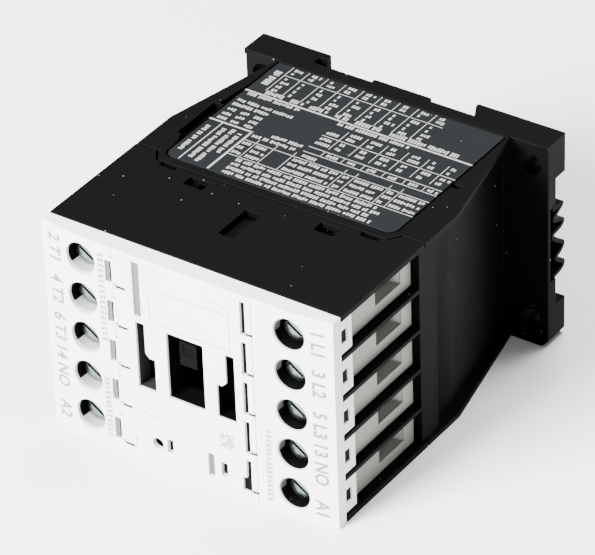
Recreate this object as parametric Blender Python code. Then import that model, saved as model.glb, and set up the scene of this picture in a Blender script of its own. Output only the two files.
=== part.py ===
"""Compact three-pole contactor (industrial control relay) lying on its side.

+X is the line side, -X the load side, -Y the front face, +Y the rail side, +Z the label side.
The origin is the middle of the footprint, on the surface that the contactor lies on.
"""
import math

import bmesh
import bpy
from mathutils import Matrix, Vector

MM = 0.001

# Overall build: five terminal poles stacked along Z make the height.
POLE_NAMES = (("l1", "t1"), ("l2", "t2"), ("l3", "t3"), ("13", "14"), ("a1", "a2"))
POLE_COUNT = len(POLE_NAMES)
GAP = 0.3 * MM
SCREW_HEAD_RADIUS = 2.8 * MM
TERMINAL_WEB = 0.5 * MM
PARTITION = 0.9 * MM
END_MARGIN = 0.75 * MM
BODY_WIDTH = 63.4 * MM
DEPTH = 75.0 * MM
CUT_MARGIN = 2.0 * MM

POLE_PITCH = 2 * (SCREW_HEAD_RADIUS + TERMINAL_WEB + 2 * GAP) + PARTITION
HEIGHT = POLE_COUNT * POLE_PITCH + 2 * END_MARGIN
MID_Z = HEIGHT / 2
FRONT_Y = -DEPTH / 2
REAR_Y = DEPTH / 2
SIDE_X = BODY_WIDTH / 2

# Front cover: a thin light shell with a slightly crowned face and latch lugs on both sides.
COVER_DEPTH = 3.6 * MM
COVER_FACE = 1.0 * MM
COVER_SIDE_FACE = 1.9 * MM
COVER_STEP_X = 18.0 * MM
COVER_RIM = 1.3 * MM
CORNER_DROP = 1.2 * MM
SHOULDER_DROP = 0.2 * MM
SHOULDER_INSET = 8.7 * MM
CROWN_HALF = 15.5 * MM
LUG_THICKNESS = 0.8 * MM
LUG_INSET = 0.5 * MM
LUG_LENGTH = 4.1 * MM
LUG_HOLE_LENGTH = 1.8 * MM
LUG_HOLE_HEIGHT = 2.8 * MM
LUG_HOLE_SETBACK = 0.8 * MM
SCREW_HOLE_CLEAR = 0.4 * MM
WINDOW_HALF = 4.0 * MM
WINDOW_BELOW = 6.2 * MM
WINDOW_ABOVE = 8.1 * MM
KEY_OUTER = 10.8 * MM
KEY_NARROW = 8.9 * MM
KEY_WIDE = 6.85 * MM
KEY_SHOULDER = 0.9 * MM
RECESS_DEPTH = 0.6 * MM
SLIT_WIDTH = 1.05 * MM
SLIT_HEIGHT = 0.6 * MM
SLIT_LEFT_X = 12.55 * MM
SLIT_INSET = 0.95 * MM
SLIT_TOP_INSET = 0.7 * MM
LOAD_SLIT_X = (-14.7 * MM, -12.6 * MM)
SLIT_FOOT_X = (13.3 * MM, 15.0 * MM)
CORNER_POCKET_X = (11.7 * MM, 13.0 * MM)
CORNER_POCKET_Z = (1.75 * MM, 4.7 * MM)
LOAD_RECESS_X = (-16.95 * MM, -15.5 * MM)
LOAD_RECESS_Z = (-2.65 * MM, 2.0 * MM)
BLIND_SLOT_X = (-10.95 * MM, -9.4 * MM)
BLIND_SLOT_RISE = 9.5 * MM
BLIND_SLOT_TOP_INSET = 1.35 * MM
FOOT_SLOTS = (
    ((-5.1 * MM, 3.6 * MM), (-3.8 * MM, 6.6 * MM)),
    ((4.0 * MM, 2.0 * MM), (5.4 * MM, 7.1 * MM)),
    ((6.9 * MM, 3.2 * MM), (8.3 * MM, 6.1 * MM)),
)
PIN_HOLE = (-7.2 * MM, 4.7 * MM)
PIN_HOLE_RADIUS = 1.2 * MM

# Contact housing, the black front half.
PLATE = 1.2 * MM
PARTITION_INSET = 0.2 * MM
FRONT_WALL = 1.4 * MM
SCREW_INSET = 9.0 * MM
INNER_WALL = 1.7 * MM
INNER_WALL_SETBACK = 6.2 * MM
JOINT_FROM_FRONT = 30.5 * MM
TONGUE_REACH = 2.6 * MM
TONGUE_INSET = 6.3 * MM
TONGUE_SLOPE = 1.8 * MM

# Base housing, the black rear half with the fixing ears and the rail channel.
FLANGE_LEAD = 1.2 * MM
FLANGE_LENGTH = 4.7 * MM
FLANGE_INSET = 0.5 * MM
TAPER_START_FROM_REAR = 33.6 * MM
WAIST_INSET = 5.7 * MM
EAR_REACH = 2.2 * MM
EAR_LENGTH = 6.5 * MM
EAR_LEDGE = 0.5 * MM
EAR_CHAMFER = 1.2 * MM
FOOT_LENGTH = 3.25 * MM
FOOT_HEIGHT = 8.4 * MM
OVERHANG = 2.0 * MM
SIDE_WALL = 1.5 * MM
FIXING_SPACING_X = 60.0 * MM
FIXING_SPACING_Z = 35.0 * MM
FIXING_RADIUS = 2.3 * MM
RAIL_DEPTH = 3.9 * MM
RAIL_LEFT = -18.1 * MM
RAIL_RIGHT = 14.9 * MM
RAIL_UNDERCUT = 1.6 * MM
RAIL_LIP = 1.8 * MM
RAIL_PAD_HALF = 6.4 * MM
RAIL_PAD_HEIGHT = 1.0 * MM
REAR_WALL = 1.3 * MM

# Rating label, set in a shallow recess of the base's label side.
LABEL_THICKNESS = 0.3 * MM
LABEL_SINK = 0.05 * MM
LABEL_HALF = 25.2 * MM
LABEL_FRONT_BACK = 0.3 * MM
LABEL_REAR_INSET = 7.2 * MM
LABEL_CORNER = 2.0 * MM

# Terminals.
GUIDE_INSET = 2.0 * MM
GUIDE_FRONT = 1.6 * MM
GUIDE_REACH = 8.7 * MM
GUIDE_WALL = 3.4 * MM
GUIDE_STEP_FROM_JOINT = 13.6 * MM
GUIDE_REAR_CLEAR = 0.4 * MM
WINDOW_FROM_JOINT = 13.1 * MM
WINDOW_LENGTH = 8.1 * MM
WINDOW_LOW = 1.3 * MM
WINDOW_HIGH = 2.4 * MM
SCREW_HEAD_HEIGHT = 2.2 * MM
SCREW_HEAD_SINK = 2.4 * MM
SCREW_SHANK_RADIUS = 1.7 * MM
SCREW_CROSS_WIDTH = 0.8 * MM
SCREW_CROSS_LENGTH = 3.6 * MM
SCREW_CROSS_DEPTH = 1.3 * MM
CLAMP_HALF_X = 2.8 * MM
CLAMP_THICKNESS = 1.2 * MM
CLAMP_OPENING = 6.6 * MM
STRIP_THICKNESS = 1.0 * MM
STRIP_FROM_JOINT = 5.0 * MM

# Contacts: two fixed tips and one moving bridge for each switched pole.
CONTACT_X = 8.0 * MM
TIP_RADIUS = 1.6 * MM
TIP_HEIGHT = 0.8 * MM
CONTACT_GAP = 2.6 * MM
BRIDGE_HALF = 9.8 * MM
BRIDGE_THICKNESS = 0.8 * MM
CARRIER_HALF = 5.5 * MM
CARRIER_WALL = 1.2 * MM
CARRIER_FRONT_BAR = 1.6 * MM
CARRIER_SLOT_EXTRA = 0.7 * MM
CONTACT_SPRING_LENGTH = 7.0 * MM
CONTACT_SPRING_RADIUS = 1.35 * MM
CONTACT_SPRING_WIRE = 0.2 * MM
CONTACT_SPRING_TURNS = 4
TAB_HALF = 1.95 * MM
TAB_HEIGHT = 5.2 * MM
TAB_RISE = 4.0 * MM
TAB_SINK = 1.0 * MM

# Magnet system.
CARRIER_TRAVEL = 4.0 * MM
TRAVEL_REST = 0.2 * MM
STACK = 14.0 * MM
CENTRE_LEG_HALF = 4.6 * MM
OUTER_LEG_IN = 12.5 * MM
OUTER_LEG_OUT = 17.5 * MM
CORE_LEG = 15.8 * MM
CORE_YOKE = 3.4 * MM
ARMATURE_LEG = 3.0 * MM
ARMATURE_YOKE = 3.5 * MM
DAMPER = 1.1 * MM
PLATE_HALF = 15.5 * MM
CARRIER_PLATE = 2.8 * MM
PLATE_CLEAR = 0.8 * MM
BOBBIN_WALL = 0.9 * MM
BOBBIN_FLANGE = 1.0 * MM
BOBBIN_HALF_Z = 14.5 * MM
WINDING_INSET = 0.6 * MM
WINDING_CORNER = 2.5 * MM
RETURN_SPRING_RADIUS = 9.8 * MM
RETURN_SPRING_WIRE = 0.4 * MM
RETURN_SPRING_TURNS = 3

# Rail spring: a sprung pusher with four folded fingers at its outer end.
SPRING_PAD_TRAVEL = 1.5 * MM
SPRING_HALF_Z = 7.8 * MM
FINGER_PAIRS = ((2.9 * MM, 1.0 * MM), (7.0 * MM, 0.3 * MM))
FINGER_THICKNESS = 1.0 * MM
FINGER_LENGTH_X = 2.4 * MM
SPRING_BACK = 1.4 * MM
SPRING_PAD = 2.0 * MM

# Planes that several pieces share.
COVER_REAR_Y = FRONT_Y + COVER_DEPTH
HOUSING_FRONT_Y = COVER_REAR_Y + GAP
HOUSING_INNER_Y = HOUSING_FRONT_Y + FRONT_WALL
JOINT_Y = FRONT_Y + JOINT_FROM_FRONT
FLANGE_FRONT_Y = JOINT_Y - FLANGE_LEAD
FLANGE_REAR_Y = FLANGE_FRONT_Y + FLANGE_LENGTH
BASE_FRONT_Y = JOINT_Y + GAP
CHAMBER_HALF_Z = (POLE_PITCH - PARTITION) / 2
CARRIER_SLOT_HALF = CHAMBER_HALF_Z - GAP - CARRIER_WALL
BRIDGE_HALF_Z = CARRIER_SLOT_HALF - CARRIER_SLOT_EXTRA
SCREW_X = SIDE_X - SCREW_INSET
SCREW_HOLE_RADIUS = SCREW_HEAD_RADIUS + SCREW_HOLE_CLEAR
SLIT_HALF = POLE_PITCH / 2 - SLIT_INSET
INNER_WALL_OUT_X = SCREW_X - INNER_WALL_SETBACK
INNER_WALL_IN_X = INNER_WALL_OUT_X - INNER_WALL
EAR_FRONT_Y = REAR_Y - EAR_LENGTH
CHANNEL_Y = REAR_Y - RAIL_DEPTH
CAVITY_REAR_Y = CHANNEL_Y - REAR_WALL
TAPER_START_Y = REAR_Y - TAPER_START_FROM_REAR
STRIP_Y = JOINT_Y - STRIP_FROM_JOINT
BRIDGE_TIP_Y = STRIP_Y - TIP_HEIGHT - CONTACT_GAP
BRIDGE_REAR_Y = BRIDGE_TIP_Y - TIP_HEIGHT
BRIDGE_FRONT_Y = BRIDGE_REAR_Y - BRIDGE_THICKNESS
SLOT_REAR_Y = BRIDGE_REAR_Y + GAP
SLOT_FRONT_Y = BRIDGE_FRONT_Y - CONTACT_SPRING_LENGTH - 2 * GAP
CARRIER_FRONT_Y = SLOT_FRONT_Y - CARRIER_FRONT_BAR
DAMPER_FRONT_Y = CAVITY_REAR_Y - GAP - DAMPER
CORE_REAR_Y = DAMPER_FRONT_Y - GAP
CORE_YOKE_Y = CORE_REAR_Y - CORE_YOKE
CORE_FACE_Y = CORE_YOKE_Y - CORE_LEG
ARMATURE_FACE_Y = CORE_FACE_Y - CARRIER_TRAVEL - TRAVEL_REST
ARMATURE_YOKE_Y = ARMATURE_FACE_Y - ARMATURE_LEG
ARMATURE_FRONT_Y = ARMATURE_YOKE_Y - ARMATURE_YOKE
CARRIER_REAR_Y = ARMATURE_FRONT_Y - GAP
CAVITY_FRONT_Y = min(FLANGE_REAR_Y + GAP, CARRIER_REAR_Y - CARRIER_PLATE - PLATE_CLEAR)

BLACK = (0.020, 0.019, 0.019)
LIGHT_GREY = (0.80, 0.79, 0.76)
INSERT_GREY = (0.56, 0.55, 0.51)
LABEL_BLUE = (0.030, 0.037, 0.045)
ZINC = (0.62, 0.64, 0.64)
BRASS = (0.72, 0.55, 0.28)
SILVER = (0.78, 0.76, 0.72)
STEEL = (0.45, 0.45, 0.46)
COPPER = (0.62, 0.28, 0.14)
BOBBIN_BROWN = (0.16, 0.11, 0.08)
RUBBER = (0.03, 0.03, 0.03)

SMOOTH_ANGLE = math.radians(35)


def clear_scene():
    for old in list(bpy.data.objects):
        bpy.data.objects.remove(old, do_unlink=True)


def make_collection(name):
    group = bpy.data.collections.new(name)
    bpy.context.scene.collection.children.link(group)
    return group


def make_material(name, colour, roughness, metallic=0.0):
    material = bpy.data.materials.new(name)
    material.use_nodes = True
    shader = material.node_tree.nodes["Principled BSDF"]
    shader.inputs["Base Color"].default_value = (*colour, 1.0)
    shader.inputs["Roughness"].default_value = roughness
    shader.inputs["Metallic"].default_value = metallic
    return material


clear_scene()
PARTS = make_collection("control_relay")
CUTTERS = make_collection("cutters")
ROOT = bpy.data.objects.new("control_relay_root", None)
PARTS.objects.link(ROOT)


def pole_z(index):
    """Height of a pole's centre line, counted down from the label side."""
    return MID_Z + ((POLE_COUNT - 1) / 2 - index) * POLE_PITCH


def add_box(bm, low, high):
    """Add a box between two corners."""
    low, high = Vector(low), Vector(high)
    size = high - low
    frame = Matrix.Translation((low + high) / 2) @ Matrix.Diagonal((*size, 1.0))
    bmesh.ops.create_cube(bm, size=1.0, matrix=frame)


def add_box_both_sides(bm, low, high):
    """Add a box and its mirror image across the plane X = 0."""
    add_box(bm, low, high)
    add_box(bm, (-high[0], low[1], low[2]), (-low[0], high[1], high[2]))


def add_rod(bm, centre, radius, length, segments=24):
    """Add a cylinder along Y that starts at centre and runs towards +Y."""
    turn = Matrix.Rotation(-math.pi / 2, 4, "X")
    shift = Matrix.Translation(Vector(centre) + Vector((0, length / 2, 0)))
    bmesh.ops.create_cone(
        bm, cap_ends=True, segments=segments, radius1=radius, radius2=radius, depth=length,
        matrix=shift @ turn,
    )


def mesh_from(name, fill):
    """Run a function that fills a bmesh and keep the result as a mesh."""
    bm = bmesh.new()
    fill(bm)
    bmesh.ops.recalc_face_normals(bm, faces=bm.faces)
    mesh = bpy.data.meshes.new(name)
    bm.to_mesh(mesh)
    bm.free()
    return mesh


def place(name, mesh, material, location=(0, 0, 0)):
    """Make a part from a mesh and hang it under the root."""
    part = bpy.data.objects.new(name, mesh)
    part.location = location
    part.parent = ROOT
    PARTS.objects.link(part)
    if material is not None and not mesh.materials:
        mesh.materials.append(material)
    return part


def cutter(name, mesh):
    tool = bpy.data.objects.new(name, mesh)
    tool.hide_render = True
    tool.display_type = "WIRE"
    CUTTERS.objects.link(tool)
    return tool


def combine(target, tool, operation="DIFFERENCE"):
    """Cut a cutter from a part, or join it on."""
    modifier = target.modifiers.new(tool.name, "BOOLEAN")
    modifier.operation = operation
    modifier.solver = "EXACT"
    modifier.object = tool


def cut(target, name, fill):
    combine(target, cutter(name, mesh_from(name, fill)))


def join(target, name, fill):
    combine(target, cutter(name, mesh_from(name, fill)), "UNION")


def curve_to_mesh(name, curve, location=(0, 0, 0)):
    """Evaluate a curve, weld its caps and return it as a mesh."""
    holder = bpy.data.objects.new(name + "_curve", curve)
    holder.location = location
    PARTS.objects.link(holder)
    graph = bpy.context.evaluated_depsgraph_get()
    mesh = bpy.data.meshes.new_from_object(holder.evaluated_get(graph))
    bm = bmesh.new()
    bm.from_mesh(mesh)
    bmesh.ops.remove_doubles(bm, verts=bm.verts, dist=1e-6)
    bmesh.ops.transform(bm, matrix=Matrix.Translation(location), verts=bm.verts)
    bmesh.ops.recalc_face_normals(bm, faces=bm.faces)
    bm.to_mesh(mesh)
    bm.free()
    mesh.name = name
    bpy.data.objects.remove(holder, do_unlink=True)
    return mesh


def plate_mesh(name, outlines, low_z, high_z):
    """A flat outline, with any further outlines as holes, extruded between two heights."""
    curve = bpy.data.curves.new(name, "CURVE")
    curve.dimensions = "2D"
    curve.fill_mode = "BOTH"
    curve.extrude = (high_z - low_z) / 2
    for outline in outlines:
        spline = curve.splines.new("POLY")
        spline.points.add(len(outline) - 1)
        for point, (x, y) in zip(spline.points, outline):
            point.co = (x, y, 0.0, 1.0)
        spline.use_cyclic_u = True
    return curve_to_mesh(name, curve, (0, 0, (low_z + high_z) / 2))


def mirrored(half):
    """Complete a right-hand half outline with its mirror image across X = 0."""
    return half + [(-x, y) for x, y in reversed(half)]


def corner_arc(centre, radius, start_deg, steps=6):
    """Points of a quarter circle, counter-clockwise from start_deg."""
    points = []
    for step in range(steps + 1):
        angle = math.radians(start_deg + 90 * step / steps)
        points.append((centre[0] + radius * math.cos(angle), centre[1] + radius * math.sin(angle)))
    return points


def rounded_rectangle(half_x, half_y, radius):
    """Outline of a rectangle with round corners, centred on the origin."""
    points = []
    for sign_x, sign_y, start in ((1, 1, 0), (-1, 1, 90), (-1, -1, 180), (1, -1, 270)):
        centre = (sign_x * (half_x - radius), sign_y * (half_y - radius))
        points += corner_arc(centre, radius, start)
    return points


def smooth_round(part):
    part.data.shade_smooth()
    part.data.set_sharp_from_angle(angle=SMOOTH_ANGLE)


def coil_mesh(name, radius, wire, length, turns, points_per_turn):
    """A compression spring along +Y from the origin, with closed flat end turns."""
    curve = bpy.data.curves.new(name, "CURVE")
    curve.dimensions = "3D"
    curve.bevel_depth = wire
    curve.bevel_resolution = 2
    curve.use_fill_caps = True
    count = turns * points_per_turn + 1
    spline = curve.splines.new("POLY")
    spline.points.add(count - 1)
    free_length = length - 2 * wire
    for index, point in enumerate(spline.points):
        angle = 2 * math.pi * index / points_per_turn
        rise = wire + free_length * index / (count - 1)
        point.co = (radius * math.cos(angle), rise, radius * math.sin(angle), 1.0)
    return curve_to_mesh(name, curve)


def cover_outline():
    """Plan of the front cover: flat middle, gently sloping shoulders, straight sides."""
    shoulder_x = SIDE_X - SHOULDER_INSET
    half = [
        (SIDE_X, COVER_REAR_Y),
        (SIDE_X, FRONT_Y + CORNER_DROP),
        (shoulder_x, FRONT_Y + SHOULDER_DROP),
        (CROWN_HALF, FRONT_Y),
    ]
    return mirrored(half)


def cover_pocket(bm):
    """Hollow behind the sloping side fields."""
    inner_x = SIDE_X - COVER_RIM
    low = (-inner_x, FRONT_Y + COVER_SIDE_FACE, COVER_RIM)
    high = (inner_x, COVER_REAR_Y + CUT_MARGIN, HEIGHT - COVER_RIM)
    add_box(bm, low, high)


def cover_middle_pocket(bm):
    """Deeper hollow behind the thinner middle panel."""
    low = (-COVER_STEP_X, FRONT_Y + COVER_FACE, COVER_RIM)
    high = (COVER_STEP_X, COVER_REAR_Y + 2 * CUT_MARGIN, HEIGHT - COVER_RIM)
    add_box(bm, low, high)


def cover_lugs(bm):
    """Latch lugs, one for each terminal, that reach back over the contact housing."""
    outer_x = SIDE_X - LUG_INSET
    start_y = FRONT_Y + (COVER_SIDE_FACE + CORNER_DROP) / 2
    for index in range(POLE_COUNT):
        z = pole_z(index)
        half = CHAMBER_HALF_Z - GAP
        low = (outer_x - LUG_THICKNESS, start_y, z - half)
        high = (outer_x, COVER_REAR_Y + LUG_LENGTH, z + half)
        add_box_both_sides(bm, low, high)


def cover_lug_holes(bm):
    start_y = COVER_REAR_Y + LUG_HOLE_SETBACK
    for index in range(POLE_COUNT):
        z = pole_z(index)
        low = (SIDE_X - CUT_MARGIN, start_y, z - LUG_HOLE_HEIGHT / 2)
        high = (SIDE_X + CUT_MARGIN, start_y + LUG_HOLE_LENGTH, z + LUG_HOLE_HEIGHT / 2)
        add_box_both_sides(bm, low, high)


def cover_screw_holes(bm):
    for index in range(POLE_COUNT):
        for side in (-1, 1):
            centre = (side * SCREW_X, FRONT_Y - CUT_MARGIN, pole_z(index))
            add_rod(bm, centre, SCREW_HOLE_RADIUS, CUT_MARGIN + COVER_SIDE_FACE + CORNER_DROP)


def through_face(bm, x_low, x_high, z_low, z_high):
    add_box(bm, (x_low, FRONT_Y - CUT_MARGIN, z_low), (x_high, FRONT_Y + 2 * COVER_FACE, z_high))


def cover_windows(bm):
    """Indicator window and the foot slots near the lower edge."""
    through_face(bm, -WINDOW_HALF, WINDOW_HALF, MID_Z - WINDOW_BELOW, MID_Z + WINDOW_ABOVE)
    for (x_low, z_low), (x_high, z_high) in FOOT_SLOTS:
        through_face(bm, x_low, x_high, z_low, z_high)


def cover_side_slits(bm):
    """Snap slits for plug-on modules: L-shaped on the line side, short on the load side."""
    for index in range(POLE_COUNT):
        z = pole_z(index)
        high_z = z + POLE_PITCH / 2 - SLIT_TOP_INSET
        through_face(bm, SLIT_LEFT_X, SLIT_LEFT_X + SLIT_WIDTH, z - SLIT_HALF, high_z)
        through_face(bm, *LOAD_SLIT_X, z - SLIT_HALF, z - SLIT_HALF + SLIT_HEIGHT)


def cover_slit_feet(bm):
    for index in range(POLE_COUNT):
        z = pole_z(index)
        through_face(bm, *SLIT_FOOT_X, z - SLIT_HALF, z - SLIT_HALF + SLIT_HEIGHT)


def cover_corner_pocket(bm):
    """Wider foot of the lowest slit on the line side."""
    through_face(bm, *CORNER_POCKET_X, *CORNER_POCKET_Z)


def cover_recesses(bm):
    """Shallow slots that don't go through the face."""
    front = FRONT_Y - CUT_MARGIN
    for index in range(POLE_COUNT):
        z = pole_z(index)
        low = (LOAD_RECESS_X[0], front, z + LOAD_RECESS_Z[0])
        high = (LOAD_RECESS_X[1], FRONT_Y + RECESS_DEPTH, z + LOAD_RECESS_Z[1])
        add_box(bm, low, high)
    low = (BLIND_SLOT_X[0], front, MID_Z + BLIND_SLOT_RISE)
    high = (BLIND_SLOT_X[1], FRONT_Y + RECESS_DEPTH, HEIGHT - BLIND_SLOT_TOP_INSET)
    add_box(bm, low, high)


def cover_pin_hole(bm):
    centre = (PIN_HOLE[0], FRONT_Y - CUT_MARGIN, PIN_HOLE[1])
    add_rod(bm, centre, PIN_HOLE_RADIUS, 3 * CUT_MARGIN, 16)


def key_slot_mesh(name, side):
    """Key slot: narrow above, wide below, with a sloping shoulder between."""
    z_low = -WINDOW_BELOW
    z_wide = 0.9 * MM
    outline = [
        (KEY_OUTER, z_low),
        (KEY_OUTER, WINDOW_ABOVE),
        (KEY_NARROW, WINDOW_ABOVE),
        (KEY_NARROW, z_wide + KEY_SHOULDER),
        (KEY_NARROW - KEY_SHOULDER, z_wide),
        (KEY_WIDE, z_wide),
        (KEY_WIDE, z_low),
    ]
    flat = plate_mesh(name, [[(side * x, z) for x, z in outline]], -2 * COVER_FACE, 2 * COVER_FACE)
    flat.transform(Matrix.Rotation(math.pi / 2, 4, "X"))
    flat.transform(Matrix.Translation((0, FRONT_Y, MID_Z)))
    return flat


def build_front_cover():
    material = make_material("front_cover", LIGHT_GREY, 0.45)
    mesh = plate_mesh("front_cover", [cover_outline()], 0.0, HEIGHT)
    cover = place("front_cover", mesh, material)
    cut(cover, "cover_pocket", cover_pocket)
    cut(cover, "cover_middle_pocket", cover_middle_pocket)
    join(cover, "cover_lugs", cover_lugs)
    cut(cover, "cover_lug_holes", cover_lug_holes)
    cut(cover, "cover_screw_holes", cover_screw_holes)
    cut(cover, "cover_windows", cover_windows)
    cut(cover, "cover_side_slits", cover_side_slits)
    cut(cover, "cover_slit_feet", cover_slit_feet)
    cut(cover, "cover_corner_pocket", cover_corner_pocket)
    cut(cover, "cover_recesses", cover_recesses)
    for side, name in ((-1, "key_slot_left"), (1, "key_slot_right")):
        combine(cover, cutter(name, key_slot_mesh(name, side)))
    cut(cover, "cover_pin_hole", cover_pin_hole)


def tongue_outline(clear):
    """Plan of the tongue that the base sends forward over the contact housing's joint."""
    reach_y = JOINT_Y - TONGUE_REACH + clear
    root_x = SIDE_X - TONGUE_INSET + TONGUE_SLOPE - clear
    tip_x = SIDE_X - TONGUE_INSET - clear
    return mirrored([(root_x, BASE_FRONT_Y + CUT_MARGIN), (root_x, JOINT_Y + clear), (tip_x, reach_y)])


def housing_chambers(bm):
    """Terminal chambers, open to the side and to the rear."""
    for index in range(POLE_COUNT):
        z = pole_z(index)
        low = (INNER_WALL_OUT_X, HOUSING_INNER_Y, z - CHAMBER_HALF_Z)
        high = (SIDE_X + CUT_MARGIN, JOINT_Y + CUT_MARGIN, z + CHAMBER_HALF_Z)
        add_box_both_sides(bm, low, high)


def housing_contact_rooms(bm):
    """Rooms of the moving contacts, open to the rear."""
    for index in range(POLE_COUNT):
        z = pole_z(index)
        low = (-INNER_WALL_IN_X, HOUSING_INNER_Y, z - CHAMBER_HALF_Z)
        high = (INNER_WALL_IN_X, JOINT_Y + CUT_MARGIN, z + CHAMBER_HALF_Z)
        add_box(bm, low, high)


def housing_carrier_way(bm):
    """Way through the partitions for the contact carrier, and the rear trim of all inner walls."""
    half = CARRIER_HALF + 2 * GAP
    low_z = pole_z(POLE_COUNT - 2) - CHAMBER_HALF_Z
    high_z = pole_z(0) + CHAMBER_HALF_Z
    add_box(bm, (-half, HOUSING_INNER_Y + GAP, low_z), (half, JOINT_Y + 2 * CUT_MARGIN, high_z))


def housing_rear_trim(bm):
    low_z = pole_z(POLE_COUNT - 1) - CHAMBER_HALF_Z
    high_z = pole_z(0) + CHAMBER_HALF_Z
    trim_y = FLANGE_FRONT_Y - GAP
    low = (-SIDE_X - CUT_MARGIN, trim_y, low_z)
    add_box(bm, low, (SIDE_X + CUT_MARGIN, JOINT_Y + 3 * CUT_MARGIN, high_z))


def housing_side_trim(bm):
    """Sets the partitions and the front wall in from the plates' edges."""
    low_z = pole_z(POLE_COUNT - 1) - CHAMBER_HALF_Z
    high_z = pole_z(0) + CHAMBER_HALF_Z
    low = (SIDE_X - PARTITION_INSET, HOUSING_FRONT_Y - CUT_MARGIN, low_z)
    add_box_both_sides(bm, low, (SIDE_X + CUT_MARGIN, JOINT_Y + 4 * CUT_MARGIN, high_z))


def housing_lug_seats(bm):
    """Room for the cover's latch lugs at the ends of the front wall."""
    for index in range(POLE_COUNT):
        z = pole_z(index)
        low_x = SIDE_X - LUG_INSET - LUG_THICKNESS - GAP
        low = (low_x, HOUSING_FRONT_Y - CUT_MARGIN, z - CHAMBER_HALF_Z)
        high = (SIDE_X + 2 * CUT_MARGIN, HOUSING_INNER_Y + CUT_MARGIN, z + CHAMBER_HALF_Z)
        add_box_both_sides(bm, low, high)


def housing_front_holes(bm):
    """Screw holes and the window behind the cover's window."""
    length = FRONT_WALL + 2 * CUT_MARGIN
    for index in range(POLE_COUNT):
        for side in (-1, 1):
            centre = (side * SCREW_X, HOUSING_FRONT_Y - CUT_MARGIN, pole_z(index))
            add_rod(bm, centre, SCREW_HEAD_RADIUS + 1.5 * GAP, length)
    low = (-WINDOW_HALF, HOUSING_FRONT_Y - CUT_MARGIN, MID_Z - WINDOW_BELOW)
    add_box(bm, low, (WINDOW_HALF, HOUSING_INNER_Y + CUT_MARGIN, MID_Z + WINDOW_ABOVE))


def housing_strip_slots(bm):
    """Slots in the inner walls for the contact strips."""
    for index in range(POLE_COUNT):
        z = pole_z(index)
        half = strip_half_z() + GAP
        low = (INNER_WALL_IN_X - CUT_MARGIN, STRIP_Y - GAP, z - half)
        high = (INNER_WALL_OUT_X + CUT_MARGIN, STRIP_Y + STRIP_THICKNESS + GAP, z + half)
        add_box_both_sides(bm, low, high)


def housing_plate_slots(bm):
    """Marking and latch slots in both outer plates."""
    for low_z, high_z in ((-CUT_MARGIN, PLATE + GAP), (HEIGHT - PLATE - GAP, HEIGHT + CUT_MARGIN)):
        add_box(bm, (-1.7 * MM, JOINT_Y - 16.5 * MM, low_z), (1.7 * MM, JOINT_Y - 7.6 * MM, high_z))
        low = (12.2 * MM, JOINT_Y - 6.6 * MM, low_z)
        add_box_both_sides(bm, low, (16.5 * MM, JOINT_Y - 3.9 * MM, high_z))
        low = (20.2 * MM, JOINT_Y - 3.7 * MM, low_z)
        add_box_both_sides(bm, low, (24.0 * MM, JOINT_Y - TONGUE_REACH + GAP, high_z))


def build_contact_housing():
    material = make_material("contact_housing", BLACK, 0.55)

    def block(bm):
        add_box(bm, (-SIDE_X, HOUSING_FRONT_Y, 0.0), (SIDE_X, JOINT_Y, HEIGHT))

    housing = place("contact_housing", mesh_from("contact_housing", block), material)
    cut(housing, "housing_chambers", housing_chambers)
    cut(housing, "housing_contact_rooms", housing_contact_rooms)
    cut(housing, "housing_carrier_way", housing_carrier_way)
    cut(housing, "housing_rear_trim", housing_rear_trim)
    cut(housing, "housing_side_trim", housing_side_trim)
    cut(housing, "housing_lug_seats", housing_lug_seats)
    cut(housing, "housing_front_holes", housing_front_holes)
    cut(housing, "housing_strip_slots", housing_strip_slots)
    for low_z, high_z, name in (
        (-CUT_MARGIN, PLATE + GAP, "tongue_notch_low"),
        (HEIGHT - PLATE - GAP, HEIGHT + CUT_MARGIN, "tongue_notch_high"),
    ):
        notch = plate_mesh(name, [tongue_outline(0.0)], low_z, high_z)
        combine(housing, cutter(name, notch))
    cut(housing, "housing_plate_slots", housing_plate_slots)


def base_outline():
    """Plan of the base's outer plates: straight, then tapering to the waist."""
    waist_x = SIDE_X - WAIST_INSET
    half = [
        (SIDE_X, BASE_FRONT_Y),
        (SIDE_X, TAPER_START_Y),
        (waist_x, EAR_FRONT_Y),
        (waist_x, EAR_FRONT_Y + EAR_LENGTH / 2),
    ]
    return mirrored(half)


def base_ears(bm):
    ear_x = SIDE_X + EAR_REACH
    add_box(bm, (-ear_x, EAR_FRONT_Y, 0.0), (ear_x, REAR_Y, HEIGHT))


def rail_channel_outline():
    """Plan of the rail channel, undercut at both ends."""
    end_y = REAR_Y + CUT_MARGIN
    return [
        (RAIL_RIGHT, end_y),
        (RAIL_RIGHT, REAR_Y - RAIL_LIP / 2),
        (RAIL_RIGHT + RAIL_UNDERCUT, CHANNEL_Y),
        (RAIL_LEFT - RAIL_UNDERCUT, CHANNEL_Y),
        (RAIL_LEFT - RAIL_UNDERCUT, REAR_Y - RAIL_LIP),
        (RAIL_LEFT, REAR_Y - RAIL_LIP * 0.9),
        (RAIL_LEFT, end_y),
    ]


def rail_pad(bm):
    """Raised strip on the channel's floor that the rail's edge slides over."""
    low = (-RAIL_PAD_HALF, CHANNEL_Y - REAR_WALL / 2, 0.0)
    add_box(bm, low, (RAIL_PAD_HALF, CHANNEL_Y + RAIL_PAD_HEIGHT, HEIGHT))


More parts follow.
